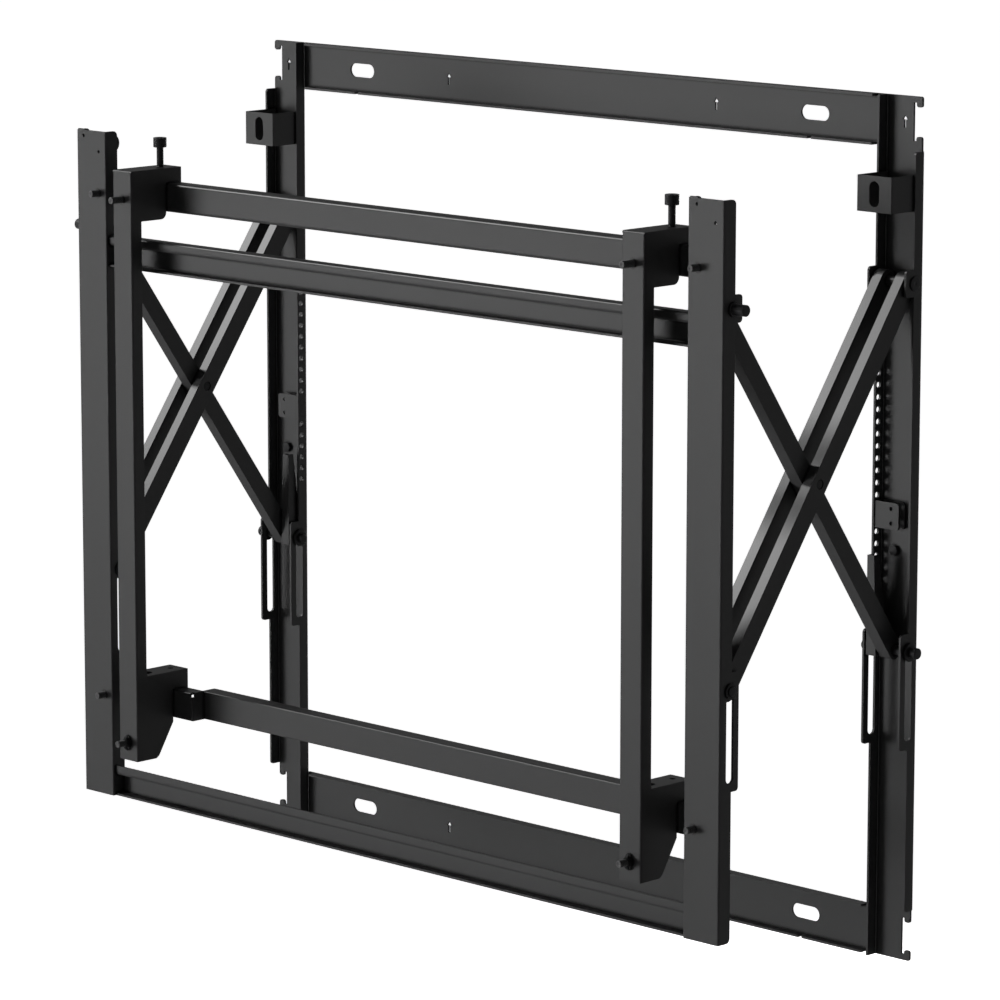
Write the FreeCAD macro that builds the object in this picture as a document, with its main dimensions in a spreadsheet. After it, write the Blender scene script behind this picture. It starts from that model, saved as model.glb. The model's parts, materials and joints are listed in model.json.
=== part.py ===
import FreeCAD, Part
import os
import re
import Sketcher

# A pop-out video wall mount, pulled out to its full depth.
# Lengths are in millimetres. X runs to the right as seen from the front, Y runs back into the wall and Z up.
# The origin lies on the wall plane, in the middle of the four wall slots.

SIZES = {
    # Layout
    "side_x": 360.0,  # mid-plane to the centre line of each rail, post and pair of arms
    "open_depth": 236.0,  # wall to the front face of the posts, pulled out
    "pivot_inset": 11.65,  # wall to the wall pivots, and post face to the front pivots
    "pivot_z": 205.9,  # the four upper pivots
    "arm_length": 367.7,  # between an arm's end pivots
    "sheet": 2.0,  # thickness of all folded sheet
    "bend": 3.0,  # outer radius of the wide bends
    "tight_bend": 1.2,  # outer radius of the sharp bends
    "pin_gap": 0.05,  # radial clearance of a pin in its hole
    "lay_gap": 0.3,  # clearance between pieces that move past each other
    # Wall rails
    "rail_height": 708.0,
    "rail_width": 40.6,
    "rail_depth": 12.0,
    "flange_end_drop": 43.5,  # rail end to the end of its outer flange
    "flange_corner": 2.5,
    "hook_reach": 18.0,  # rail centre line to the outer edge of the hooks
    "hook_depth": 9.1,  # outer edge of the hooks to the notch wall
    "hook_tip": 6.0,  # width of a hook's tip
    "hook_top": 8.6,  # rail end to the tip of its hook
    "hook_mouth": 23.5,  # tip to tip
    "hook_undercut": 3.6,
    "hook_rounding": 2.0,
    "row_top_z": 129.7,  # highest hole of the row in the inner flange
    "row_pitch": 10.0,
    "row_inset": 8.0,  # wall to the row
    "row_hole": 2.5,  # radius
    # Ears of the rails and posts
    "ear_margin": 10.1,  # pivot axis to the free edge of an ear
    "pivot_ear_height": 22.0,
    "ear_corner": 3.0,
    "guide_top_margin": 10.9,  # slot end to the ear's upper edge
    "guide_foot_margin": 6.8,  # slot end to the ear's lower edge
    "guide_slot_length": 78.0,
    "guide_gap": 0.1,  # radial clearance of a pin in its slot
    # Wall bars
    "wall_bar_height": 41.0,
    "wall_bar_depth": 9.3,
    "wall_bar_relief": 8.0,  # bar end to the end of its flanges
    "lip_notch": 4.0,  # width of the notch in the lower flange under each slot
    "slot_x": 265.0,
    "slot_length": 30.0,
    "slot_width": 12.0,
    "arrow_x": 156.7,
    "arrow_height": 10.6,
    "arrow_width": 5.4,
    "arrow_shaft": 2.0,
    "arrow_head": 4.0,
    # Stop brackets
    "stop_width": 36.4,
    "stop_front": 38.5,  # wall to the bracket's face
    "stop_height": 29.0,
    "stop_z": 277.9,
    "stop_slot_length": 20.7,
    "stop_slot_width": 10.0,
    # Anchor clips and the bolts on the rails
    "clip_reach": 7.0,  # rail centre line to the clip's free end
    "clip_height": 22.0,
    "clip_front": 11.0,  # wall to the clip's face
    "clip_hole": 1.6,
    "clip_hole_pitch": 12.0,
    "clip_hole_x": 1.0,
    "clip_corner": 3.0,
    "clip_sheet": 1.5,
    "rivet_radius": 1.9,
    "bolt_x": -3.7,
    "bolt_z": -14.6,
    "bolt_head": 4.6,  # radius over the corners
    "bolt_head_height": 3.0,
    "bolt_shank": 2.5,
    # Pins
    "pivot_pin": 4.0,  # radius of all pivot pins and guide pins
    "pin_head": 5.6,
    "pin_head_height": 1.4,
    "front_pin_reach": 32.0,  # arm centre line to the outer end of a front pivot pin
    "front_pin_collar": 6.0,
    "front_pin_barrel": 4.6,  # radius beyond the outer ear
    "collar_height": 1.6,
    "axle_inner": 27.0,
    "axle_outer": 27.0,
    "axle_cap": 4.6,
    "axle_cap_height": 3.0,
    "axle_washer": 7.5,
    "axle_washer_height": 2.0,
    "guide_pin_reach": 21.5,
    "guide_washer": 6.3,
    "guide_washer_height": 1.4,
    "crossing_pin_recess": 0.6,
    # Arms
    "bar_width": 9.4,
    "bar_depth": 18.0,
    "bar_gap": 13.6,
    "single_width": 12.0,
    "single_depth": 15.6,
    # Stop links
    "link_width": 10.0,
    "link_top_width": 7.2,
    "link_height": 76.5,
    "link_foot": 6.0,
    "link_front": 9.5,  # axle to the link's face
    "link_back": 5.5,
    "link_top_depth": 6.0,
    "link_sheet": 1.5,
    "link_side_gap": 1.5,  # inner flange to the link
    # Posts
    "post_width": 37.4,
    "post_height": 587.2,
    "post_foot_z": -296.6,
    "post_depth": 13.6,
    "post_corner": 4.0,
    "post_tab_width": 8.6,
    "post_tab_height": 0.9,
    "post_tab_x": -12.7,
    "post_hole": 1.5,
    "post_hole_x": 9.7,
    "post_hole_z": 6.5,
    "post_hole_drop": 11.3,  # post top to the middle of the two small holes
    # Cross rails
    "cross_height": 27.0,
    "cross_setback": 3.0,  # post face to the face of a cross rail
    "cross_recess": 9.0,
    "cross_lip": 8.6,
    "cross_upper_z": 173.4,
    # Bumpers
    "bumper_radius": 8.0,
    "bumper_length": 25.0,
    "bumper_z": 278.4,
    "bumper_rounding": 3.0,
    # Display rails
    "display_rail_margin": 10.5,  # depth stud to the end of a display rail
    "display_rail_depth": 14.4,
    "display_rail_height": 25.0,
    "display_rail_relief": 15.0,  # rail end to the end of its flanges
    "upper_rail_z": 223.9,
    "upper_rail_setback": 22.8,  # post face to the rail's face
    "lower_rail_z": -221.4,
    "lower_rail_setback": 24.7,
    "jog": 14.0,
    "jog_x": 264.0,
    "jog_notch": 2.5,
    # Depth studs
    "stud_radius": 3.0,
    "depth_stud_x": 351.5,
    "depth_stud_reach": 8.6,  # post face to a stud's tip
    "depth_stud_tail": 8.0,
    "upper_stud_z": 236.8,
    "lower_stud_z": -206.8,
    "collar_radius": 5.2,
    "stud_collar_height": 2.6,
    "nut_corner_radius": 5.77,
    "nut_height": 5.0,
    # Display brackets
    "bracket_x": 300.0,
    "bracket_width": 23.4,
    "bracket_front": 17.6,  # post face to the bracket's face
    "bracket_depth": 11.6,
    "hook_headroom": 13.0,  # upper display rail to the bracket's upper end
    "hook_plate_drop": 5.9,  # upper display rail to the lower edge of the hook's side plates
    "bracket_foot_drop": 33.5,  # lower display rail to the bracket's lower end
    "hook_corner": 6.0,
    "crown_rounding": 1.5,  # upper edge of the bracket
    "lip_gap": 0.8,
    "hook_lip_height": 24.0,
    "saddle_headroom": 16.3,  # lower display rail to the saddle's upper face
    "saddle_lip_height": 30.0,
    "gusset_foot_depth": 22.1,  # bracket face to the end of its foot
    "gusset_knee_depth": 25.3,
    "gusset_knee_height": 2.3,
    "gusset_slope_height": 27.6,
    "recess_width": 9.0,
    "recess_depth": 12.0,
    "saddle_hole": 2.5,
    "saddle_hole_setback": 10.0,
    "saddle_plate_depth": 44.0,
    # Display studs and wing nuts
    "display_stud_reach": 12.9,  # bracket face to a stud's tip
    "display_stud_root": 3.4,  # where it is pressed into the bracket
    "display_stud_head": 4.5,
    "display_stud_head_height": 1.5,
    "display_stud_drop": 24.9,  # bracket's upper end to the upper stud
    "display_stud_pitch": 476.0,
    "wing_hub": 4.0,
    "wing_hub_height": 4.2,
    "wing_span": 14.0,
    "wing_knee": 4.6,  # stud axis to the bend of a wing
    "wing_sheet": 1.6,
    "wing_width": 3.6,
    "wing_sweep": 2.2,  # how far a wing's tip lies behind its root
    # Height screws and their pads
    "screw_setback": 26.4,  # post face to the screw's axis
    "screw_head": 5.8,
    "screw_head_height": 8.4,
    "screw_head_rounding": 0.6,
    "screw_rise": 16.9,  # bracket top to the underside of the head
    "screw_socket": 3.0,
    "screw_socket_depth": 4.5,
    "pad_radius": 6.0,
    "pad_height": 3.0,
}

ROW_HOLES = 18
CLIP_ROW = {"right": 11.5, "left": 10.5}  # pitches from the top hole of the row to a clip's middle
SOCKET_CORNERS = 6
SIDES = (("right", 1), ("left", -1))

doc = FreeCAD.newDocument("video_wall_mount")
dims = doc.addObject("Spreadsheet::Sheet", "dims")
for row, (alias, size) in enumerate(SIZES.items(), 1):
    dims.set(f"A{row}", str(size))
    dims.setAlias(f"A{row}", alias)
doc.recompute()

# Places worked out from the sizes, as formulas in the sheet's names
ARM_REACH = "(open_depth - 2 * pivot_inset)"
ARM_RISE = f"sqrt(arm_length ^ 2 - {ARM_REACH} ^ 2)"
ARM_TILT = f"asin({ARM_REACH} / arm_length)"
WALL_AXIS_Y = "-pivot_inset"
FRONT_AXIS_Y = "(pivot_inset - open_depth)"
GUIDE_Z = f"(pivot_z - {ARM_RISE})"
GUIDE_SLOT_WIDTH = "(2 * (pivot_pin + guide_gap))"
SLOT_TOP_Z = f"({GUIDE_Z} + {GUIDE_SLOT_WIDTH} / 2)"
SLOT_FOOT_Z = f"({SLOT_TOP_Z} - guide_slot_length)"
RAIL_TOP_Z = "(rail_height / 2)"
RAIL_SIDE = "(rail_width / 2)"
POST_FACE_Y = "-open_depth"
POST_SIDE = "(post_width / 2)"
POST_TOP_Z = "(post_foot_z + post_height)"
WALL_SLOT_Z = "((rail_height - wall_bar_height) / 2)"
BAR_OUTER = "(bar_gap / 2 + bar_width)"
BRACKET_FACE_Y = "(-open_depth - bracket_front)"
BRACKET_SIDE = "(bracket_width / 2)"
UPPER_RAIL_FACE_Y = "(upper_rail_setback - open_depth)"
LOWER_RAIL_FACE_Y = "(lower_rail_setback - open_depth)"
UPPER_RAIL_TOP_Z = "(upper_rail_z + display_rail_height)"
LOWER_RAIL_TOP_Z = "(lower_rail_z + display_rail_height)"
DISPLAY_RAIL_END = "(depth_stud_x + display_rail_margin)"
BRACKET_TOP_Z = f"({UPPER_RAIL_TOP_Z} + hook_headroom)"
BRACKET_FOOT_Z = "(lower_rail_z - bracket_foot_drop)"
HOOK_PLATE_FOOT_Z = "(upper_rail_z - hook_plate_drop)"
SADDLE_TOP_Z = f"({LOWER_RAIL_TOP_Z} + saddle_headroom)"
DISPLAY_STUD_LEVELS = (
    f"({BRACKET_TOP_Z} - display_stud_drop)",
    f"({BRACKET_TOP_Z} - display_stud_drop - display_stud_pitch)",
)
UPPER_LIP_Y = f"({UPPER_RAIL_FACE_Y} + display_rail_depth + lip_gap)"
LOWER_LIP_Y = f"({LOWER_RAIL_FACE_Y} + display_rail_depth + lip_gap)"
SCREW_Y = "(screw_setback - open_depth)"
PAD_TOP_Z = f"({UPPER_RAIL_TOP_Z} + pad_height)"

nodes = {}


def cells(formula):
    """The formula with every size's name written as a reference to the sheet."""
    return re.sub(r"[a-z]\w*", lambda m: f"dims.{m[0]}" if m[0] in SIZES else m[0], formula)


def number(formula):
    """The formula's value now."""
    result = dims.evalExpression(cells(formula))
    return float(getattr(result, "Value", result))


def bind(item, name, formula):
    """Ties a property to a formula."""
    item.setExpression(name, cells(formula))


def mirrored(sign, low, high):
    """The span from low to high on the right side, or its mirror image on the left."""
    return (low, high) if sign > 0 else (f"-({high})", f"-({low})")


def pin_point(sketch, item, end, across, up):
    """Holds one point of a sketch at its two coordinates."""
    for kind, formula in (("DistanceX", across), ("DistanceY", up)):
        index = sketch.addConstraint(Sketcher.Constraint(kind, item, end, number(formula)))
        bind(sketch, f"Constraints[{index}]", formula)


def polygon(*corners):
    """A closed outline through the corners, each given as two formulas."""

    def draw(sketch):
        first = sketch.GeometryCount
        count = len(corners)
        points = [FreeCAD.Vector(number(u), number(v), 0) for u, v in corners]
        sketch.addGeometry([Part.LineSegment(points[i], points[(i + 1) % count]) for i in range(count)])
        for i in range(count):
            following = first + (i + 1) % count
            sketch.addConstraint(Sketcher.Constraint("Coincident", first + i, 2, following, 1))
        for i, (u, v) in enumerate(corners):
            pin_point(sketch, first + i, 1, u, v)

    return draw


def block(left, right, low, high):
    """A rectangle between two spans."""
    return polygon((left, low), (right, low), (right, high), (left, high))


def circle(across, up, radius):
    """A circle about a point."""

    def draw(sketch):
        centre = FreeCAD.Vector(number(across), number(up), 0)
        item = sketch.addGeometry(Part.Circle(centre, FreeCAD.Vector(0, 0, 1), number(radius)))
        pin_point(sketch, item, 3, across, up)
        index = sketch.addConstraint(Sketcher.Constraint("Radius", item, number(radius)))
        bind(sketch, f"Constraints[{index}]", radius)

    return draw


def slot(across, up, length, width, upright):
    """A slot with round ends about a point, upright or level."""
    half = f"(({length}) - ({width})) / 2"
    if upright:
        ends = ((across, f"({up}) - {half}"), (across, f"({up}) + {half}"))
    else:
        ends = ((f"({across}) - {half}", up), (f"({across}) + {half}", up))

    def draw(sketch):
        first = sketch.GeometryCount
        radius = number(f"({width}) / 2")
        low, high = (FreeCAD.Vector(number(u), number(v), 0) for u, v in ends)
        along = (high - low).normalize()
        side = FreeCAD.Vector(along.y, -along.x, 0) * radius
        arcs = [
            Part.Arc(high + side, high + along * radius, high - side),
            Part.Arc(low - side, low - along * radius, low + side),
        ]
        lines = [Part.LineSegment(low + side, high + side), Part.LineSegment(high - side, low - side)]
        sketch.addGeometry([lines[0], arcs[0], lines[1], arcs[1]])
        for i in range(4):
            following = first + (i + 1) % 4
            sketch.addConstraint(Sketcher.Constraint("Tangent", first + i, 2, following, 1))
        pin_point(sketch, first + 1, 3, *ends[1])
        pin_point(sketch, first + 3, 3, *ends[0])
        index = sketch.addConstraint(Sketcher.Constraint("Radius", first + 1, radius))
        bind(sketch, f"Constraints[{index}]", f"({width}) / 2")

    return draw


def arrow(across, up):
    """An upright arrow about a point."""
    foot = f"({up}) - arrow_height / 2"
    neck = f"({up}) + arrow_height / 2 - arrow_head"
    return polygon(
        (f"({across}) - arrow_shaft / 2", foot),
        (f"({across}) + arrow_shaft / 2", foot),
        (f"({across}) + arrow_shaft / 2", neck),
        (f"({across}) + arrow_width / 2", neck),
        (across, f"({up}) + arrow_height / 2"),
        (f"({across}) - arrow_width / 2", neck),
        (f"({across}) - arrow_shaft / 2", neck),
    )


class Piece:
    """One sub-part: outlines on its own origin planes, padded or pocketed between two levels."""

    def __init__(self, name, x="0", y="0", z="0", tilt=None):
        self.body = doc.addObject("PartDesign::Body", name)
        self.body.Label = name
        if tilt:
            turn = FreeCAD.Rotation(FreeCAD.Vector(1, 0, 0), number(tilt))
            self.body.Placement = FreeCAD.Placement(FreeCAD.Vector(), turn)
            bind(self.body, "Placement.Rotation.Angle", tilt)
        for axis, formula in zip("xyz", (x, y, z)):
            bind(self.body, f"Placement.Base.{axis}", formula)
        nodes[name] = self.body

    def feature(self, kind, plane, outlines, low, high):
        rising = (kind == "Pad") == (plane != "XZ")
        start = low if rising else high
        sketch = self.body.newObject("Sketcher::SketchObject", f"outline_{plane}")
        origin = next(item for item in self.body.Origin.OriginFeatures if item.Role == f"{plane}_Plane")
        sketch.AttachmentSupport = [(origin, "")]
        sketch.MapMode = "FlatFace"
        bind(sketch, "AttachmentOffset.Base.z", f"-({start})" if plane == "XZ" else start)
        for draw in outlines:
            draw(sketch)
        result = self.body.newObject(f"PartDesign::{kind}", kind.lower())
        result.Profile = sketch
        bind(result, "Length", f"({high}) - ({low})")

    def pad(self, plane, outline, low, high):
        self.feature("Pad", plane, [outline], low, high)

    def pocket(self, plane, outlines, low, high):
        self.feature("Pocket", plane, outlines, low, high)

    def fillet(self, radius, *spots):
        """Rounds the edges that lie wholly at a spot: three coordinates, None where any will do."""
        doc.recompute()
        base = self.body.Tip
        chosen = []
        for spot in spots:
            wanted = [None if c is None else number(c) for c in spot]
            found = [
                f"Edge{i}"
                for i, edge in enumerate(base.Shape.Edges, 1)
                if all(
                    c is None or abs(point[k] - c) < 1e-4
                    for point in (edge.Vertexes[0].Point, edge.CenterOfMass, edge.Vertexes[-1].Point)
                    for k, c in enumerate(wanted)
                )
            ]
            if not found:
                raise ValueError(f"{self.body.Label}: no edge at {spot}")
            chosen += [edge for edge in found if edge not in chosen]
        rounding = self.body.newObject("PartDesign::Fillet", "fillet")
        rounding.Base = (base, chosen)
        bind(rounding, "Radius", radius)


def turned(axis):
    """The turn that brings the Z axis onto the named axis."""
    return FreeCAD.Rotation(FreeCAD.Vector(0, 0, 1), FreeCAD.Vector(*(float(axis == k) for k in "XYZ")))


def place(item, axis, start):
    """Puts an item at a point, its Z axis along the named axis."""
    item.Placement = FreeCAD.Placement(FreeCAD.Vector(), turned(axis))
    for name, formula in zip("xyz", start):
        bind(item, f"Placement.Base.{name}", formula)
    return item


def rod(axis, start, radius, length):
    """A round bar from a point along an axis."""
    item = doc.addObject("Part::Cylinder", "rod")
    bind(item, "Radius", radius)
    bind(item, "Height", length)
    return place(item, axis, start)


def hexagon(axis, start, radius, length):
    """A six-sided bar from a point along an axis."""
    item = doc.addObject("Part::Prism", "hexagon")
    item.Polygon = 6
    bind(item, "Circumradius", radius)
    bind(item, "Height", length)
    return place(item, axis, start)


def fused(*items):
    """Several items as one solid."""
    item = doc.addObject("Part::MultiFuse", "fused")
    item.Shapes = list(items)
    return item


def bored(base, tool):
    """The base with the tool's space cut out of it."""
    item = doc.addObject("Part::Cut", "bored")
    item.Base = base
    item.Tool = tool
    return item


def grouped(*items):
    """Several items side by side as one node."""
    item = doc.addObject("Part::Compound", "grouped")
    item.Links = list(items)
    return item


def name_node(name, item):
    """Makes a finished item the named sub-part."""
    item.Label = name
    nodes[name] = item


def make_wall_rail(side, sign):
    """An upright C channel with ears, a hole row, hooks at its ends and an arrow cut-out."""
    rail = Piece(f"wall_rail_{side}", x=f"{sign} * side_x")
    flange_back = "-rail_depth"
    rail.pad(
        "XY",
        polygon(
            (f"-{RAIL_SIDE}", "0"),
            (f"-{RAIL_SIDE}", flange_back),
            (f"sheet - {RAIL_SIDE}", flange_back),
            (f"sheet - {RAIL_SIDE}", "-sheet"),
            (f"{RAIL_SIDE} - sheet", "-sheet"),
            (f"{RAIL_SIDE} - sheet", flange_back),
            (RAIL_SIDE, flange_back),
            (RAIL_SIDE, "0"),
        ),
        f"-{RAIL_TOP_Z}",
        RAIL_TOP_Z,
    )
    rail.fillet("bend", (f"-{RAIL_SIDE}", "0", None), (RAIL_SIDE, "0", None))
    rail.fillet(
        "bend - sheet", (f"sheet - {RAIL_SIDE}", "-sheet", None), (f"{RAIL_SIDE} - sheet", "-sheet", None)
    )

    # The outer flange stops short of both ends, where the web carries the hooks
    outer, inner = mirrored(sign, "hook_reach", f"{RAIL_SIDE} + sheet")
    spare = "rail_height"
    flange_end = f"({RAIL_TOP_Z} - flange_end_drop)"
    for low, high in ((flange_end, spare), (f"-{spare}", f"-{flange_end}")):
        rail.pocket("XZ", [block(outer, inner, low, high)], "-2 * rail_depth", "rail_depth")

    # Ears stand on both flanges, round the pivot and along the guide slot
    edge_y = "(-pivot_inset - ear_margin)"
    ears = (
        ("pivot_z - pivot_ear_height / 2", "pivot_z + pivot_ear_height / 2"),
        (f"{SLOT_FOOT_Z} - guide_foot_margin", f"{SLOT_TOP_Z} + guide_top_margin"),
    )
    flanges = ((f"-{RAIL_SIDE}", f"sheet - {RAIL_SIDE}"), (f"{RAIL_SIDE} - sheet", RAIL_SIDE))
    for low, high in ears:
        for left, right in flanges:
            rail.pad("YZ", block(edge_y, flange_back, low, high), left, right)
    rail.fillet("ear_corner", *((None, edge_y, z) for ear in ears for z in ear))
    across = (f"-{RAIL_SIDE} - sheet", f"{RAIL_SIDE} + sheet")
    rail.pocket("YZ", [circle(WALL_AXIS_Y, "pivot_z", "pivot_pin + pin_gap")], *across)
    slot_middle = f"({SLOT_TOP_Z} + {SLOT_FOOT_Z}) / 2"
    rail.pocket(
        "YZ", [slot(WALL_AXIS_Y, slot_middle, "guide_slot_length", GUIDE_SLOT_WIDTH, True)], *across
    )

    # Hole row in the inner flange
    inner_span = mirrored(sign, f"-{RAIL_SIDE} - sheet", f"2 * sheet - {RAIL_SIDE}")
    row = [circle("-row_inset", f"row_top_z - {i} * row_pitch", "row_hole") for i in range(ROW_HOLES)]
    rail.pocket("YZ", row, *inner_span)

    # Hooks: one notch at each end of the web, the lower one upside down
    for way in (1, -1):
        mouth = f"({RAIL_TOP_Z} - hook_top)"
        levels = (mouth, f"{mouth} + hook_undercut", f"{mouth} - hook_mouth - hook_undercut")
        tip_z, deep_z, low_deep_z = (f"{way} * ({level})" for level in levels)
        low_tip_z = f"{way} * ({mouth} - hook_mouth)"
        depths = ("hook_reach + sheet", "hook_reach - hook_tip", "hook_reach - hook_depth")
        edge, tip, wall = (f"{sign} * ({x})" for x in depths)
        notch = polygon(
            (edge, tip_z),
            (tip, tip_z),
            (tip, deep_z),
            (wall, deep_z),
            (wall, low_deep_z),
            (tip, low_deep_z),
            (tip, low_tip_z),
            (edge, low_tip_z),
        )
        rail.pocket("XZ", [notch], "-2 * sheet", "sheet")
        reach = f"{sign} * hook_reach"
        rail.fillet(
            "hook_rounding",
            *((x, None, z) for x in (reach, tip) for z in (tip_z, low_tip_z)),
            (reach, None, f"{way} * {RAIL_TOP_Z}"),
        )
    rail.pocket("XZ", [arrow("0", WALL_SLOT_Z)], "-2 * sheet", "sheet")

    # The bolt's hole in the web and rounded upper and lower corners of the outer flange
    rail.pocket("XZ", [circle("bolt_x", "bolt_z", "bolt_shank + pin_gap")], "-2 * sheet", "sheet")
    rail.fillet("flange_corner", (None, flange_back, flange_end), (None, flange_back, f"-{flange_end}"))


def make_wall_bar(name, way):
    """A level C channel between the rails, with wall slots and arrow cut-outs."""
    bar = Piece(name)
    end = f"(side_x - {RAIL_SIDE})"
    low, high = (f"{RAIL_TOP_Z} - wall_bar_height", RAIL_TOP_Z)
    if way < 0:
        low, high = (f"-({high})", f"-({low})")
    bar.pad("XZ", block(f"-{end}", end, low, high), "-sheet", "0")
    flange_end = f"({end} - wall_bar_relief)"
    for foot, top in ((low, f"{low} + sheet"), (f"{high} - sheet", high)):
        bar.pad("XZ", block(f"-{flange_end}", flange_end, foot, top), "-wall_bar_depth", "-sheet")
    middle = f"{way} * {WALL_SLOT_Z}"
    for sign in (1, -1):
        wall_slot = slot(f"{sign} * slot_x", middle, "slot_length", "slot_width", False)
        bar.pocket("XZ", [wall_slot, arrow(f"{sign} * arrow_x", middle)], "-2 * sheet", "sheet")
        left, right = (f"{sign} * slot_x {half} lip_notch / 2" for half in "-+")
        notch = block(left, right, f"{low} - sheet", f"{low} + 2 * sheet")
        bar.pocket("XZ", [notch], "-wall_bar_depth - sheet", "-wall_bar_depth / 2")


def make_stop_bracket(side, sign):
    """A U-shaped box in the rail that the bumper meets."""
    stop = Piece(f"stop_bracket_{side}", x=f"{sign} * side_x")
    half, face, foot = "(stop_width / 2)", "-stop_front", "-bend"
    stop.pad(
        "XY",
        polygon(
            (f"-{half}", foot),
            (f"-{half}", face),
            (half, face),
            (half, foot),
            (f"{half} - sheet", foot),
            (f"{half} - sheet", f"{face} + sheet"),
            (f"sheet - {half}", f"{face} + sheet"),
            (f"sheet - {half}", foot),
        ),
        "stop_z - stop_height / 2",
        "stop_z + stop_height / 2",
    )
    stop.fillet("sheet / 2", (f"-{half}", face, None), (half, face, None))
    oval = slot("0", "stop_z", "stop_slot_length", "stop_slot_width", True)
    stop.pocket("XZ", [oval], f"{face} - sheet", f"{face} + 2 * sheet")


def clip_z(side):
    """The height of a clip's middle, between two holes of the row."""
    return f"(row_top_z - {CLIP_ROW[side]} * row_pitch)"


def make_anchor_clip(side, sign):
    """A folded clip: a side plate on the inner flange, a front plate and a back plate."""
    clip = Piece(f"anchor_clip_{side}", x=f"{sign} * side_x")
    middle = clip_z(side)
    low, high = f"{middle} - clip_height / 2", f"{middle} + clip_height / 2"
    root, free = mirrored(sign, f"sheet - {RAIL_SIDE}", "clip_reach")
    side_span = mirrored(sign, f"sheet - {RAIL_SIDE}", f"sheet - {RAIL_SIDE} + clip_sheet")
    clip.pad("YZ", block("-clip_front", "-sheet", low, high), *side_span)
    clip.pad("XZ", block(root, free, low, high), "-clip_front", "clip_sheet - clip_front")
    clip.pad("XZ", block(root, free, low, high), "-sheet - clip_sheet", "-sheet")
    clip.fillet("clip_corner", *((f"{sign} * clip_reach", None, z) for z in (low, high)))
    holes = [
        circle(f"-{sign} * clip_hole_x", f"{middle} + {way} * clip_hole_pitch / 2", "clip_hole")
        for way in (1, -1)
    ]
    clip.pocket("XZ", holes, "-clip_front - sheet", "-sheet / 2")
    rivets = [
        circle("-row_inset", f"{middle} + {way} * row_pitch / 2", "rivet_radius + pin_gap")
        for way in (1, -1)
    ]
    clip.pocket("YZ", rivets, *side_span)
    clip.fillet("clip_sheet", (f"{sign} * (sheet - {RAIL_SIDE})", "-sheet", None))


def make_clip_rivets():
    """Two rivets for each clip, their heads in holes of the row."""
    rivets = []
    for side, sign in SIDES:
        outer = f"(side_x - {RAIL_SIDE})"
        seat = f"({outer} + sheet)"
        head_x = mirrored(sign, outer, seat)[0]
        shank_x = mirrored(sign, seat, f"{seat} + clip_sheet")[0]
        for way in (1, -1):
            z = f"{clip_z(side)} + {way} * row_pitch / 2"
            head = rod("X", (head_x, "-row_inset", z), "row_hole - pin_gap", "sheet")
            shank = rod("X", (shank_x, "-row_inset", z), "rivet_radius", "clip_sheet")
            rivets.append(fused(head, shank))
    name_node("clip_rivets", grouped(*rivets))


def make_rail_bolts():
    """A hex bolt through the web of each rail, its head inside the channel."""
    bolts = []
    for side, sign in SIDES:
        x = f"{sign} * side_x + bolt_x"
        head = hexagon("Y", (x, "-sheet - bolt_head_height", "bolt_z"), "bolt_head", "bolt_head_height")
        bolts.append(fused(head, rod("Y", (x, "-sheet", "bolt_z"), "bolt_shank", "sheet")))
    name_node("rail_bolts", grouped(*bolts))


def make_wall_pivot_pins():
    """Riveted pins through the pivot ears of the rails."""
    pins = []
    for side, sign in SIDES:
        outer = f"({RAIL_SIDE} + pin_head_height)"
        start = f"{sign} * side_x - {outer}"
        shank = rod("X", (start, WALL_AXIS_Y, "pivot_z"), "pivot_pin", f"2 * {outer}")
        heads = [
            rod("X", (x, WALL_AXIS_Y, "pivot_z"), "pin_head", "pin_head_height")
            for x in (start, f"{sign} * side_x + {RAIL_SIDE}")
        ]
        pins.append(fused(shank, *heads))
    name_node("wall_pivot_pins", grouped(*pins))


def make_double_arm(side, sign):
    """Two flat bars side by side, hung on the wall pivot."""
    for place_name, way in (("inner", -1), ("outer", 1)):
        name = f"double_arm_{side}_{place_name}"
        bar = Piece(name, x=f"{sign} * side_x", y=WALL_AXIS_Y, z="pivot_z", tilt=f"-{ARM_TILT}")
        span = mirrored(sign * way, "bar_gap / 2", BAR_OUTER)
        bar.pad("YZ", slot("0", "-arm_length / 2", "arm_length + bar_depth", "bar_depth", True), *span)
        drill_arm(bar, span)


def drill_arm(bar, span):
    """The holes at both ends and in the middle of an arm."""
    holes = [circle("0", z, "pivot_pin + pin_gap") for z in ("0", "-arm_length / 2", "-arm_length")]
    bar.pocket("YZ", holes, f"({span[0]}) - sheet", f"({span[1]}) + sheet")


def make_single_arm(side, sign):
    """One flat bar, hung on the front pivot, that passes between the bars of the double arm."""
    bar = Piece(f"single_arm_{side}", x=f"{sign} * side_x", y=FRONT_AXIS_Y, z="pivot_z", tilt=ARM_TILT)
    span = ("-single_width / 2", "single_width / 2")
    bar.pad("YZ", slot("0", "-arm_length / 2", "arm_length + single_depth", "single_depth", True), *span)
    drill_arm(bar, span)


def make_crossing_pin(side, sign):
    """The pin where the arms cross, a little short of the bars' outer faces."""
    half = f"({BAR_OUTER} - crossing_pin_recess)"
    start = (f"{sign} * side_x - {half}", "-open_depth / 2", f"pivot_z - {ARM_RISE} / 2")
    name_node(f"crossing_pin_{side}", rod("X", start, "pivot_pin", f"2 * {half}"))


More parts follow.
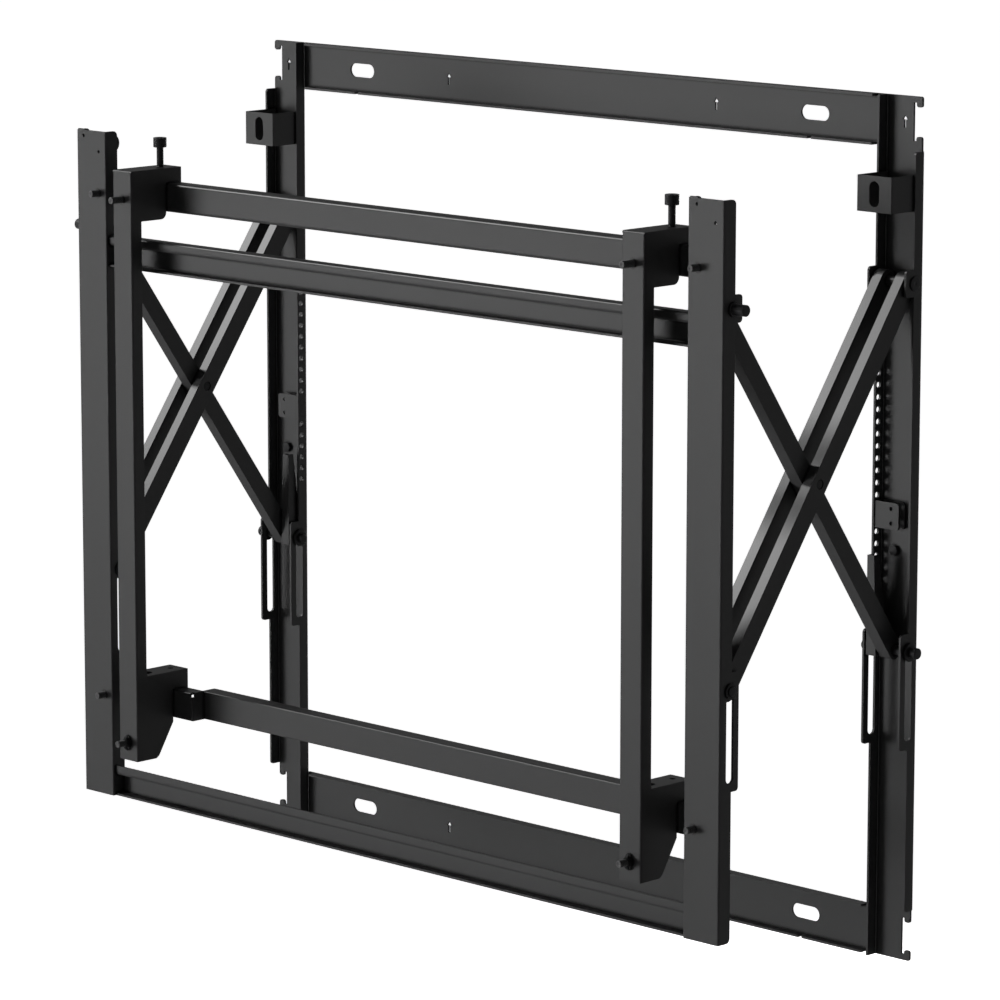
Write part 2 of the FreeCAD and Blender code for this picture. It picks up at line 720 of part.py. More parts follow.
def make_axle(side, sign):
    """The axle at the foot of the single arm, with a cap at its outer end, and its two washers."""
    low, high = mirrored(sign, "-axle_inner", "axle_outer")
    shank = rod("X", (f"{sign} * side_x + {low}", WALL_AXIS_Y, GUIDE_Z), "pivot_pin", f"({high}) - ({low})")
    low, high = mirrored(sign, "axle_outer", "axle_outer + axle_cap_height")
    cap = rod("X", (f"{sign} * side_x + {low}", WALL_AXIS_Y, GUIDE_Z), "axle_cap", "axle_cap_height")
    name_node(f"axle_{side}", fused(shank, cap))
    make_washers(
        f"axle_washers_{side}", sign, WALL_AXIS_Y, RAIL_SIDE, "axle_washer", "axle_washer_height"
    )


def make_guide_pin(side, sign):
    """The pin at the foot of the double arm, in the guide slots of the post, and its two washers."""
    start = (f"{sign} * side_x - guide_pin_reach", FRONT_AXIS_Y, GUIDE_Z)
    name_node(f"guide_pin_{side}", rod("X", start, "pivot_pin", "2 * guide_pin_reach"))
    make_washers(
        f"guide_washers_{side}", sign, FRONT_AXIS_Y, POST_SIDE, "guide_washer", "guide_washer_height"
    )


def make_washers(name, sign, y, outer, radius, height):
    """A washer on the outer face of each of a channel's two ears."""
    washers = []
    for way in (1, -1):
        low, high = mirrored(way, f"{outer} + lay_gap", f"{outer} + lay_gap + {height}")
        x = f"{sign} * side_x + {low}"
        ring = rod("X", (x, y, GUIDE_Z), radius, height)
        washers.append(bored(ring, rod("X", (x, y, GUIDE_Z), "pivot_pin + pin_gap", height)))
    name_node(name, grouped(*washers))


def make_stop_link(side, sign):
    """A tapered strut folded to a U, open to the wall, that stands on the axle beside the arm."""
    link = Piece(f"stop_link_{side}", x=f"{sign} * side_x", y=WALL_AXIS_Y, z=GUIDE_Z)
    flange_side = f"(sheet - {RAIL_SIDE} + link_side_gap)"
    arm_side = f"({flange_side} + link_width)"
    top_side = f"({flange_side} + link_top_width)"
    span = mirrored(sign, flange_side, arm_side)
    link.pad(
        "YZ",
        polygon(
            ("-link_front", "-link_foot"),
            ("link_back", "-link_foot"),
            ("link_back", "link_foot"),
            ("link_top_depth - link_front", "link_height"),
            ("-link_front", "link_height"),
        ),
        *span,
    )
    beyond = f"({arm_side} + sheet)"
    taper = polygon(
        *(
            (f"{sign} * {x}", z)
            for x, z in (
                (beyond, "link_foot"),
                (arm_side, "link_foot"),
                (top_side, "link_height"),
                (top_side, "link_height + sheet"),
                (beyond, "link_height + sheet"),
            )
        )
    )
    link.pocket("XZ", [taper], "-2 * link_front", "2 * link_front")
    hollow = polygon(
        *(
            (f"{sign} * ({x})", z)
            for x, z in (
                (f"{flange_side} + link_sheet", "-link_foot - sheet"),
                (f"{arm_side} - link_sheet", "-link_foot - sheet"),
                (f"{arm_side} - link_sheet", "link_foot"),
                (f"{top_side} - link_sheet", "link_height"),
                (f"{top_side} - link_sheet", "link_height + sheet"),
                (f"{flange_side} + link_sheet", "link_height + sheet"),
            )
        )
    )
    link.pocket("XZ", [hollow], "link_sheet - link_front", "2 * link_front")
    link.fillet("link_foot / 2", (None, "link_back", "-link_foot"))
    link.pocket("YZ", [circle("0", "0", "pivot_pin + pin_gap")], f"-{RAIL_SIDE}", RAIL_SIDE)


def make_post(side, sign):
    """A wide upright C channel, open to the wall, with pivot and guide ears and a tab on its top edge."""
    post = Piece(f"post_{side}", x=f"{sign} * side_x")
    flange_y = f"({POST_FACE_Y} + post_depth)"
    web_y = f"({POST_FACE_Y} + sheet)"
    post.pad(
        "XY",
        polygon(
            (f"-{POST_SIDE}", POST_FACE_Y),
            (POST_SIDE, POST_FACE_Y),
            (POST_SIDE, flange_y),
            (f"{POST_SIDE} - sheet", flange_y),
            (f"{POST_SIDE} - sheet", web_y),
            (f"sheet - {POST_SIDE}", web_y),
            (f"sheet - {POST_SIDE}", flange_y),
            (f"-{POST_SIDE}", flange_y),
        ),
        "post_foot_z",
        POST_TOP_Z,
    )
    post.fillet("tight_bend", (f"-{POST_SIDE}", POST_FACE_Y, None), (POST_SIDE, POST_FACE_Y, None))
    post.fillet("post_corner", (None, flange_y, "post_foot_z"), (None, flange_y, POST_TOP_Z))

    edge_y = f"({FRONT_AXIS_Y} + ear_margin)"
    ears = (
        ("pivot_z - pivot_ear_height / 2", "pivot_z + pivot_ear_height / 2"),
        (f"{SLOT_FOOT_Z} - guide_foot_margin", f"{SLOT_TOP_Z} + guide_top_margin"),
    )
    flanges = ((f"-{POST_SIDE}", f"sheet - {POST_SIDE}"), (f"{POST_SIDE} - sheet", POST_SIDE))
    for low, high in ears:
        for left, right in flanges:
            post.pad("YZ", block(flange_y, edge_y, low, high), left, right)
    post.fillet("ear_corner", *((None, edge_y, z) for ear in ears for z in ear))
    across = (f"-{POST_SIDE} - sheet", f"{POST_SIDE} + sheet")
    post.pocket("YZ", [circle(FRONT_AXIS_Y, "pivot_z", "pivot_pin + pin_gap")], *across)
    slot_middle = f"({SLOT_TOP_Z} + {SLOT_FOOT_Z}) / 2"
    post.pocket(
        "YZ", [slot(FRONT_AXIS_Y, slot_middle, "guide_slot_length", GUIDE_SLOT_WIDTH, True)], *across
    )

    tab = block(
        "post_tab_x - post_tab_width / 2",
        "post_tab_x + post_tab_width / 2",
        POST_TOP_Z,
        f"{POST_TOP_Z} + post_tab_height",
    )
    post.pad("XZ", tab, POST_FACE_Y, web_y)
    small = [
        circle(f"{way} * post_hole_x", f"{POST_TOP_Z} - post_hole_drop - {way} * post_hole_z", "post_hole")
        for way in (1, -1)
    ]
    studs = [
        circle(f"{sign} * (depth_stud_x - side_x)", z, "stud_radius + pin_gap")
        for z in ("upper_stud_z", "lower_stud_z")
    ]
    post.pocket("XZ", small + studs, f"{POST_FACE_Y} - sheet", f"{web_y} + sheet / 2")


def make_cross_rail(name, foot_z, flanged):
    """A stepped rail between the posts: a lip, a recessed web, a lower flange and maybe an upper one."""
    rail = Piece(name)
    face = f"({POST_FACE_Y} + cross_setback)"
    web = f"({face} + cross_recess)"
    back = f"({web} + sheet)"
    top = f"({foot_z} + cross_height)"
    ledge = f"({top} - cross_lip)"
    end = f"(side_x - {POST_SIDE})"
    inside = f"({face} + sheet)"
    crown = [(inside, top)]
    if flanged:
        crown = [(inside, f"{top} - sheet"), (back, f"{top} - sheet"), (back, top)]
    rail.pad(
        "YZ",
        polygon(
            (face, top),
            (face, ledge),
            (web, ledge),
            (web, f"{foot_z} + sheet"),
            (face, f"{foot_z} + sheet"),
            (face, foot_z),
            (back, foot_z),
            (back, f"{ledge} + sheet"),
            (inside, f"{ledge} + sheet"),
            *crown,
        ),
        f"-{end}",
        end,
    )
    if flanged:
        rail.fillet("sheet", (None, face, top))
    rail.fillet("bend", (None, face, ledge))


def make_front_pivot_pin(side, sign):
    """A pin through the upper ears of a post, with two collars and a thick outer end."""
    low, high = mirrored(sign, f"-{POST_SIDE}", "front_pin_reach")
    shank = rod(
        "X", (f"{sign} * side_x + {low}", FRONT_AXIS_Y, "pivot_z"), "pivot_pin", f"({high}) - ({low})"
    )
    collars = []
    for seat in (f"({POST_SIDE} + lay_gap)", f"(sheet + lay_gap - {POST_SIDE})"):
        x = f"{sign} * side_x + {mirrored(sign, seat, f'{seat} + collar_height')[0]}"
        collars.append(rod("X", (x, FRONT_AXIS_Y, "pivot_z"), "front_pin_collar", "collar_height"))
    low, high = mirrored(sign, f"({POST_SIDE} + lay_gap + collar_height)", "front_pin_reach")
    place = (f"{sign} * side_x + {low}", FRONT_AXIS_Y, "pivot_z")
    barrel = rod("X", place, "front_pin_barrel", f"({high}) - ({low})")
    return fused(shank, *collars, barrel)


def make_bumper(side, sign):
    """A round rubber bumper on the back of a post's web."""
    bumper = Piece(f"bumper_{side}", x=f"{sign} * side_x")
    seat = f"({POST_FACE_Y} + sheet)"
    end = f"({seat} + bumper_length)"
    bumper.pad("XZ", circle("0", "bumper_z", "bumper_radius"), seat, end)
    bumper.fillet("bumper_rounding", (None, end, None))


def make_display_rail(name, face, foot_z):
    """A level C channel, open to the wall, that spans the space behind the posts."""
    rail = Piece(name)
    back = f"({face} + display_rail_depth)"
    top = f"({foot_z} + display_rail_height)"
    end = DISPLAY_RAIL_END
    rail.pad(
        "YZ",
        polygon(
            (back, top),
            (face, top),
            (face, foot_z),
            (back, foot_z),
            (back, f"{foot_z} + sheet"),
            (f"{face} + sheet", f"{foot_z} + sheet"),
            (f"{face} + sheet", f"{top} - sheet"),
            (back, f"{top} - sheet"),
        ),
        f"-{end}",
        end,
    )
    return rail


def make_upper_display_rail():
    """The upper rail, straight from end to end."""
    rail = make_display_rail("display_rail_upper", UPPER_RAIL_FACE_Y, "upper_rail_z")
    rail.fillet("bend", *((None, UPPER_RAIL_FACE_Y, z) for z in ("upper_rail_z", UPPER_RAIL_TOP_Z)))
    relieve_flanges(rail, UPPER_RAIL_FACE_Y, "upper_rail_z")
    drill_display_rail(rail, UPPER_RAIL_FACE_Y, "upper_stud_z")


def make_lower_display_rail():
    """The lower rail, jogged back towards the wall between the brackets."""
    rail = Piece("display_rail_lower")
    face, end = LOWER_RAIL_FACE_Y, DISPLAY_RAIL_END
    back = f"({face} + display_rail_depth)"
    jogged, jogged_back = f"({face} + jog)", f"({back} + jog)"
    inside = f"({face} + sheet)"
    jog_inside = "(jog_x + sheet)"
    plan = [
        (f"-{end}", face),
        ("-jog_x", face),
        ("-jog_x", jogged),
        ("jog_x", jogged),
        ("jog_x", face),
        (end, face),
        (end, back),
        (jog_inside, back),
        (jog_inside, jogged_back),
        (f"-{jog_inside}", jogged_back),
        (f"-{jog_inside}", back),
        (f"-{end}", back),
    ]
    rail.pad("XY", polygon(*plan), "lower_rail_z", LOWER_RAIL_TOP_Z)
    rail.fillet(
        "tight_bend",
        (None, face, "lower_rail_z"),
        (None, face, LOWER_RAIL_TOP_Z),
        (None, jogged, "lower_rail_z"),
        (None, jogged, LOWER_RAIL_TOP_Z),
    )
    beyond_end, beyond_back = f"({end} + sheet)", f"({jogged_back} + sheet)"
    hollow = polygon(
        (f"-{beyond_end}", inside),
        (f"-{jog_inside}", inside),
        (f"-{jog_inside}", f"{jogged} + sheet"),
        (jog_inside, f"{jogged} + sheet"),
        (jog_inside, inside),
        (beyond_end, inside),
        (beyond_end, beyond_back),
        (f"-{beyond_end}", beyond_back),
    )
    rail.pocket("XY", [hollow], "lower_rail_z + sheet", f"{LOWER_RAIL_TOP_Z} - sheet")
    notches = [
        block(*mirrored(sign, "jog_x", "jog_x + jog_notch"), f"{face} - sheet", f"{face} + 2 * sheet")
        for sign in (1, -1)
    ]
    rail.pocket("XY", notches, f"{LOWER_RAIL_TOP_Z} - 2 * sheet", f"{LOWER_RAIL_TOP_Z} + sheet")
    relieve_flanges(rail, face, "lower_rail_z")
    drill_display_rail(rail, face, "lower_stud_z")


def relieve_flanges(rail, face, foot_z):
    """Cuts the flanges back at both ends, behind the bends, so that only the web reaches past the studs."""
    start = f"({DISPLAY_RAIL_END} - display_rail_relief)"
    beyond = f"({DISPLAY_RAIL_END} + sheet)"
    low, high = f"{foot_z} - sheet", f"{foot_z} + display_rail_height + sheet"
    ends = [block(*mirrored(sign, start, beyond), low, high) for sign in (1, -1)]
    rail.pocket("XZ", ends, f"{face} + bend", f"{face} + display_rail_depth + sheet")


def drill_display_rail(rail, face, stud_z):
    """The holes that the depth studs turn in."""
    holes = [circle(f"{sign} * depth_stud_x", stud_z, "stud_radius + pin_gap") for sign in (1, -1)]
    rail.pocket("XZ", holes, f"{face} - sheet", f"{face} + 2 * sheet")


def make_depth_stud(level, side, sign, face, z):
    """A threaded stud through the post, held in the display rail by a collar on each side of its web."""
    x = f"{sign} * depth_stud_x"
    tip = f"({POST_FACE_Y} - depth_stud_reach)"
    shank = rod("Y", (x, tip, z), "stud_radius", f"{face} + sheet + depth_stud_tail - {tip}")
    collars = [
        rod("Y", (x, y, z), "collar_radius", "stud_collar_height")
        for y in (f"{face} - lay_gap - stud_collar_height", f"{face} + sheet + lay_gap")
    ]
    name_node(f"depth_stud_{level}_{side}", fused(shank, *collars))


def make_stud_nuts():
    """The nuts behind the posts that the depth studs turn in."""
    nuts = []
    for side, sign in SIDES:
        for z in ("upper_stud_z", "lower_stud_z"):
            start = (f"{sign} * depth_stud_x", f"{POST_FACE_Y} + sheet", z)
            nuts.append(make_nut("Y", start))
    name_node("stud_nuts", grouped(*nuts))


def make_nut(axis, start):
    """A hexagon nut from a point along an axis."""
    hole = rod(axis, start, "stud_radius + pin_gap", "nut_height")
    return bored(hexagon(axis, start, "nut_corner_radius", "nut_height"), hole)


def make_display_bracket(side, sign):
    """An upright channel with a hook over the upper display rail and a saddle over the lower one."""
    bracket = Piece(f"display_bracket_{side}", x=f"{sign} * bracket_x")
    face, half = BRACKET_FACE_Y, BRACKET_SIDE
    flange = f"({face} + bracket_depth)"
    bracket.pad(
        "XY",
        polygon(
            (f"-{half}", face),
            (half, face),
            (half, flange),
            (f"{half} - sheet", flange),
            (f"{half} - sheet", f"{face} + sheet"),
            (f"sheet - {half}", f"{face} + sheet"),
            (f"sheet - {half}", flange),
            (f"-{half}", flange),
        ),
        BRACKET_FOOT_Z,
        BRACKET_TOP_Z,
    )
    bracket.fillet("tight_bend", (f"-{half}", face, None), (half, face, None))

    # Side plates: the hook above, the gusset and the saddle below
    hook_back = f"({UPPER_LIP_Y} + sheet)"
    saddle_back = f"({LOWER_LIP_Y} + sheet)"
    rail_front = f"({UPPER_RAIL_FACE_Y} - lay_gap)"
    hook = polygon(
        (flange, HOOK_PLATE_FOOT_Z),
        (rail_front, HOOK_PLATE_FOOT_Z),
        (rail_front, f"{UPPER_RAIL_TOP_Z} + lay_gap"),
        (hook_back, f"{UPPER_RAIL_TOP_Z} + lay_gap"),
        (hook_back, BRACKET_TOP_Z),
        (flange, BRACKET_TOP_Z),
    )
    saddle_front = f"({LOWER_RAIL_FACE_Y} - lay_gap)"
    gusset = polygon(
        (flange, BRACKET_FOOT_Z),
        (f"{face} + gusset_foot_depth", BRACKET_FOOT_Z),
        (f"{face} + gusset_knee_depth", f"{BRACKET_FOOT_Z} + gusset_knee_height"),
        (saddle_front, f"{BRACKET_FOOT_Z} + gusset_knee_height + gusset_slope_height"),
        (saddle_front, f"{LOWER_RAIL_TOP_Z} + lay_gap"),
        (saddle_back, f"{LOWER_RAIL_TOP_Z} + lay_gap"),
        (saddle_back, SADDLE_TOP_Z),
        (flange, SADDLE_TOP_Z),
    )
    for left, right in ((f"-{half}", f"sheet - {half}"), (f"{half} - sheet", half)):
        bracket.pad("YZ", hook, left, right)
        bracket.pad("YZ", gusset, left, right)
    bracket.fillet("hook_corner", (None, rail_front, HOOK_PLATE_FOOT_Z))

    # Top plate of the hook, its lip behind the rail, and the same on the saddle
    bracket.pad("XY", block(f"-{half}", half, face, hook_back), f"{BRACKET_TOP_Z} - sheet", BRACKET_TOP_Z)
    lip = block(f"-{half}", half, f"{BRACKET_TOP_Z} - hook_lip_height", BRACKET_TOP_Z)
    bracket.pad("XZ", lip, UPPER_LIP_Y, hook_back)
    plate_front = f"({saddle_back} - saddle_plate_depth)"
    plate = block(f"-{half}", half, plate_front, saddle_back)
    bracket.pad("XY", plate, f"{SADDLE_TOP_Z} - sheet", SADDLE_TOP_Z)
    lip = block(f"-{half}", half, f"{SADDLE_TOP_Z} - saddle_lip_height", SADDLE_TOP_Z)
    bracket.pad("XZ", lip, LOWER_LIP_Y, saddle_back)

    # Holes for the studs and the height screw, and the recess and hole of the saddle plate
    root_hole = "display_stud_root + pin_gap"
    studs = [circle("0", z, root_hole) for z in DISPLAY_STUD_LEVELS]
    bracket.pocket("XZ", studs, f"{face} - sheet", f"{face} + 2 * sheet")
    screw = circle("0", SCREW_Y, "stud_radius + pin_gap")
    bracket.pocket("XY", [screw], f"{BRACKET_TOP_Z} - 2 * sheet", f"{BRACKET_TOP_Z} + sheet")
    recess = slot("0", plate_front, "2 * recess_depth", "recess_width", True)
    round_hole = circle("0", f"{saddle_back} - saddle_hole_setback", "saddle_hole")
    bracket.pocket("XY", [recess, round_hole], f"{SADDLE_TOP_Z} - 2 * sheet", f"{SADDLE_TOP_Z} + sheet")
    bracket.fillet("crown_rounding", (None, face, BRACKET_TOP_Z))


def make_display_studs(side, sign):
    """Two studs pressed through the bracket's web from behind."""
    studs = []
    for z in DISPLAY_STUD_LEVELS:
        x, tip = f"{sign} * bracket_x", f"({BRACKET_FACE_Y} - display_stud_reach)"
        inside = f"{BRACKET_FACE_Y} + sheet"
        shank = rod("Y", (x, tip, z), "stud_radius", "display_stud_reach")
        root = rod("Y", (x, BRACKET_FACE_Y, z), "display_stud_root", "sheet")
        head = rod("Y", (x, inside, z), "display_stud_head", "display_stud_head_height")
        studs.append(fused(shank, root, head))
    name_node(f"display_studs_{side}", grouped(*studs))


def make_wing_nut(side, sign):
    """A small wing nut on the lower stud, its two wings swept back towards the bracket."""
    nut = Piece(f"wing_nut_{side}", x=f"{sign} * bracket_x", z=DISPLAY_STUD_LEVELS[1])
    back = f"({BRACKET_FACE_Y} - lay_gap)"
    front = f"({back} - wing_hub_height)"
    nut.pad("XZ", circle("0", "0", "wing_hub"), front, back)
    swept = f"({front} + wing_sweep)"
    for way in (1, -1):
        root, knee, tip = (f"{way} * {z}" for z in ("stud_radius", "wing_knee", "wing_span / 2"))
        wing = polygon(
            (front, root),
            (front, knee),
            (swept, tip),
            (f"{swept} + wing_sheet", tip),
            (f"{front} + wing_sheet", knee),
            (f"{front} + wing_sheet", root),
        )
        nut.pad("YZ", wing, "-wing_width / 2", "wing_width / 2")
    nut.pocket("XZ", [circle("0", "0", "stud_radius + pin_gap")], f"{front} - sheet", f"{back} + sheet")


def make_height_screw(side, sign):
    """A socket-head screw that stands on its pad and raises the bracket, its pad and its nut."""
    x = f"{sign} * bracket_x"
    head_z = f"({BRACKET_TOP_Z} + screw_rise)"
    screw = Piece(f"height_screw_{side}", x=x, y=SCREW_Y)
    screw.pad("XY", circle("0", "0", "stud_radius"), PAD_TOP_Z, f"{head_z} + sheet")
    screw.pad("XY", circle("0", "0", "screw_head"), head_z, f"{head_z} + screw_head_height")
    top = f"{head_z} + screw_head_height"
    corners = [f"{i * 360 / SOCKET_CORNERS}" for i in range(SOCKET_CORNERS)]
    points = [(f"screw_socket * cos({angle})", f"screw_socket * sin({angle})") for angle in corners]
    screw.pocket("XY", [polygon(*points)], f"{top} - screw_socket_depth", f"{top} + sheet")
    screw.fillet("screw_head_rounding", (None, None, top))

    pad = Piece(f"screw_pad_{side}", x=x, y=SCREW_Y)
    pad.pad("XY", circle("0", "0", "pad_radius"), UPPER_RAIL_TOP_Z, PAD_TOP_Z)
    name_node(f"height_nut_{side}", make_nut("Z", (x, SCREW_Y, f"{BRACKET_TOP_Z} - sheet - nut_height")))


for side, sign in SIDES:
    make_wall_rail(side, sign)
    make_stop_bracket(side, sign)
    make_anchor_clip(side, sign)
    make_double_arm(side, sign)
    make_single_arm(side, sign)
    make_crossing_pin(side, sign)
    make_axle(side, sign)
    make_guide_pin(side, sign)
    make_stop_link(side, sign)
    make_post(side, sign)
    make_bumper(side, sign)
    make_depth_stud("upper", side, sign, UPPER_RAIL_FACE_Y, "upper_stud_z")
    make_depth_stud("lower", side, sign, LOWER_RAIL_FACE_Y, "lower_stud_z")
    make_display_bracket(side, sign)
    make_display_studs(side, sign)
    make_wing_nut(side, sign)
    make_height_screw(side, sign)
make_wall_bar("wall_bar_top", 1)
make_wall_bar("wall_bar_bottom", -1)
make_clip_rivets()
make_rail_bolts()
make_wall_pivot_pins()
make_cross_rail("cross_rail_upper", "cross_upper_z", True)
make_cross_rail("cross_rail_lower", "post_foot_z", False)
name_node("front_pivot_pins", grouped(*(make_front_pivot_pin(side, sign) for side, sign in SIDES)))
make_upper_display_rail()
make_lower_display_rail()
make_stud_nuts()

doc.recompute()
failed = [
    f"{item.Label} of {[owner.Label for owner in item.InList]}"
    for item in doc.Objects
    if {"Invalid", "Error"} & set(item.State)
]
if failed:
    raise RuntimeError(f"did not compute: {failed}")
for name, item in nodes.items():
    if item.Shape.isNull() or not item.Shape.isValid():
        raise RuntimeError(f"{name}: no valid shape")
    if item.isDerivedFrom("PartDesign::Body"):
        features = [f for f in item.Group if f.isDerivedFrom("PartDesign::Feature")]
        for before, after in zip(features, features[1:]):
            grown = after.Shape.Volume - before.Shape.Volume
            if after.TypeId == "PartDesign::Pad" and grown <= 0:
                raise RuntimeError(f"{name}: {after.Label} adds nothing")
            if after.TypeId == "PartDesign::Pocket" and grown >= 0:
                raise RuntimeError(f"{name}: {after.Label} cuts nothing")

os.makedirs("parts", exist_ok=True)
for name, item in nodes.items():
    item.Shape.exportStep(f"parts/{name}.step")
    print(f"{name}: {len(item.Shape.Solids)} solid(s), {item.Shape.Volume / 1000:.2f} cm3")
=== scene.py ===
# %% [markdown]
# A video wall mount, dressed for rendering. The frame of folded sheet comes in finished from the packed
# model, and this script gives every piece its surface: a satin black powder coat on the sheet, a dark coat
# on the arms and black plate on the hardware. The studs, screws, nuts, pins and bumpers are made again here
# as turned surfaces, with their threads, chamfers and sockets, on the axes of the solids they stand for.
# Lengths in the shapes are in mm, and in the camera, lamps and materials in m.

# %% Load the frame
import json
import math

import bpy
import numpy as np
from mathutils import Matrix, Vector


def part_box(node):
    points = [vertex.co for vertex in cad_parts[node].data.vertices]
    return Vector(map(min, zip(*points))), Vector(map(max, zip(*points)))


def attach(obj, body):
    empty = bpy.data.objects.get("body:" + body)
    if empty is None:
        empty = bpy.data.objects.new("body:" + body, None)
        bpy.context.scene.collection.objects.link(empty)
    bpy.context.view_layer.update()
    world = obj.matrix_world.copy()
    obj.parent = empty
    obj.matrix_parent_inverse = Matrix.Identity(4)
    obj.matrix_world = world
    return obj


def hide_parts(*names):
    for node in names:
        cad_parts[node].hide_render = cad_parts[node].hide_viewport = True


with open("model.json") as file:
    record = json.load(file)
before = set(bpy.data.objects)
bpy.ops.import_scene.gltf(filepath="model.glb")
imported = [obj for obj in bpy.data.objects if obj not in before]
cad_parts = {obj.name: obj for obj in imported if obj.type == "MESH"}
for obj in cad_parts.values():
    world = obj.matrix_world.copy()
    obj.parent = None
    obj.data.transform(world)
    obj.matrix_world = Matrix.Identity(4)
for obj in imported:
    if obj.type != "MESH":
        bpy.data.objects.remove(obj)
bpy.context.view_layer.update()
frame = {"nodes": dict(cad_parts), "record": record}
MM = 0.001
SIDES = (("right", 1), ("left", -1))
scene = bpy.context.scene

# %% [markdown]
# The picture is taken from the front right and a little above, with a long lens, so the upright posts stay
# nearly parallel. The lens length follows from the wanted focal length in pixels on a 36 mm sensor.

# %% The camera
PICTURE = 1000  # pixels
SENSOR = 36.0  # mm
FOCAL_PIXELS = 5052.0
CAMERA_PLACE = (2.9556, -3.0842, 0.7389)
CAMERA_TILT, CAMERA_YAW = 79.943, 45.0  # degrees
CAMERA_SHIFT = (0.027, 0.0002)

camera_data = bpy.data.cameras.new("camera")
camera_data.sensor_width = SENSOR
camera_data.lens = FOCAL_PIXELS * SENSOR / PICTURE
camera_data.shift_x, camera_data.shift_y = CAMERA_SHIFT
camera_data.clip_end = 100.0
camera = bpy.data.objects.new("camera", camera_data)
camera.location = CAMERA_PLACE
camera.rotation_euler = (math.radians(CAMERA_TILT), 0.0, math.radians(CAMERA_YAW))
scene.collection.objects.link(camera)
scene.camera = camera
print("camera lens:", round(camera_data.lens, 1), "mm")

# %% [markdown]
# The shadows of the studs and brackets fall level to the right, nearly as far as they stand proud, so the
# main lamp stands well round to the left, at the mount's own height. Its mirror image lies near the front
# faces, which gives them a sheen that fades from top to foot. A small high lamp on the left reaches only the
# sheen, and draws the thin bright lines along the upper bends. A third lamp, behind, lights what faces the
# wall.

# %% The lamps
MOUNT = Vector((0.0, -0.2, 0.0))
KEY_PLACE = Vector((-3.35, -3.92, -0.1))
KEY_AIM = Vector((1.5, -0.2, 1.0))
KEY_SIZE, KEY_POWER, KEY_SPREAD = 2.3, 28.5, 72.0
LINE_PLACE = Vector((-3.4, -2.0, 3.2))
LINE_SIZE, LINE_POWER = 0.9, 600.0
BACK_PLACE = Vector((-1.6, 3.9, -0.3))
BACK_SIZE, BACK_POWER = 2.0, 110.0
FULL_SPREAD = 180.0
FILL = 0.03


def add_lamp(name, place, aim, size, power, spread=FULL_SPREAD):
    """A round area lamp at a place, turned towards its aim."""
    lamp_data = bpy.data.lights.new(name, "AREA")
    lamp_data.shape = "DISK"
    lamp_data.size = size
    lamp_data.energy = power
    lamp_data.spread = math.radians(spread)
    lamp = bpy.data.objects.new(name, lamp_data)
    lamp.location = place
    lamp.rotation_euler = (aim - place).to_track_quat("-Z", "Y").to_euler()
    scene.collection.objects.link(lamp)
    return lamp


add_lamp("key_lamp", KEY_PLACE, KEY_AIM, KEY_SIZE, KEY_POWER, KEY_SPREAD)
line_lamp = add_lamp("line_lamp", LINE_PLACE, MOUNT, LINE_SIZE, LINE_POWER)
line_lamp.visible_diffuse = False
add_lamp("back_lamp", BACK_PLACE, MOUNT, BACK_SIZE, BACK_POWER)
print("key lamp:", round((MOUNT - KEY_PLACE).length, 2), "m away")

# %% [markdown]
# The world adds a faint fill to diffuse rays. To the camera, and in reflections, it is a pale grey.

# %% The world
world = bpy.data.worlds.new("studio")
scene.world = world
world.use_nodes = True
world.node_tree.nodes.clear()


def add_node(tree, kind, **values):
    """A new shader node of that kind, with its properties and its sockets' values set by name."""
    node = tree.nodes.new(kind)
    for name, value in values.items():
        if name in node.inputs:
            node.inputs[name].default_value = value
        else:
            setattr(node, name, value)
    return node


def seen_or_lit(tree):
    """A mask: 1 on rays that show a surface (camera, glossy, transmission), and 0 on rays that light one."""
    path = add_node(tree, "ShaderNodeLightPath")
    first = add_node(tree, "ShaderNodeMath", operation="MAXIMUM")
    mask = add_node(tree, "ShaderNodeMath", operation="MAXIMUM")
    tree.links.new(path.outputs["Is Camera Ray"], first.inputs[0])
    tree.links.new(path.outputs["Is Glossy Ray"], first.inputs[1])
    tree.links.new(first.outputs[0], mask.inputs[0])
    tree.links.new(path.outputs["Is Transmission Ray"], mask.inputs[1])
    return mask.outputs[0]


sky = add_node(world.node_tree, "ShaderNodeBackground")
strength = add_node(world.node_tree, "ShaderNodeMapRange")
strength.inputs["To Min"].default_value = FILL
strength.inputs["To Max"].default_value = 1.0
world.node_tree.links.new(seen_or_lit(world.node_tree), strength.inputs["Value"])
world.node_tree.links.new(strength.outputs["Result"], sky.inputs["Strength"])
world_out = add_node(world.node_tree, "ShaderNodeOutputWorld")
world.node_tree.links.new(sky.outputs["Background"], world_out.inputs["Surface"])
scene.view_settings.view_transform = "Standard"
print("world fill:", FILL)

# %% [markdown]
# The floor lies well below the mount, which hangs on a wall that isn't shown. It is plain white to the
# camera and in reflections, and sends a little of the lamps' light back up to the mount.

# %% The floor
FLOOR_Z = -1.5
FLOOR_SIZE = 40.0
FLOOR_WHITE = 0.9
FLOOR_GLOW = 1.0

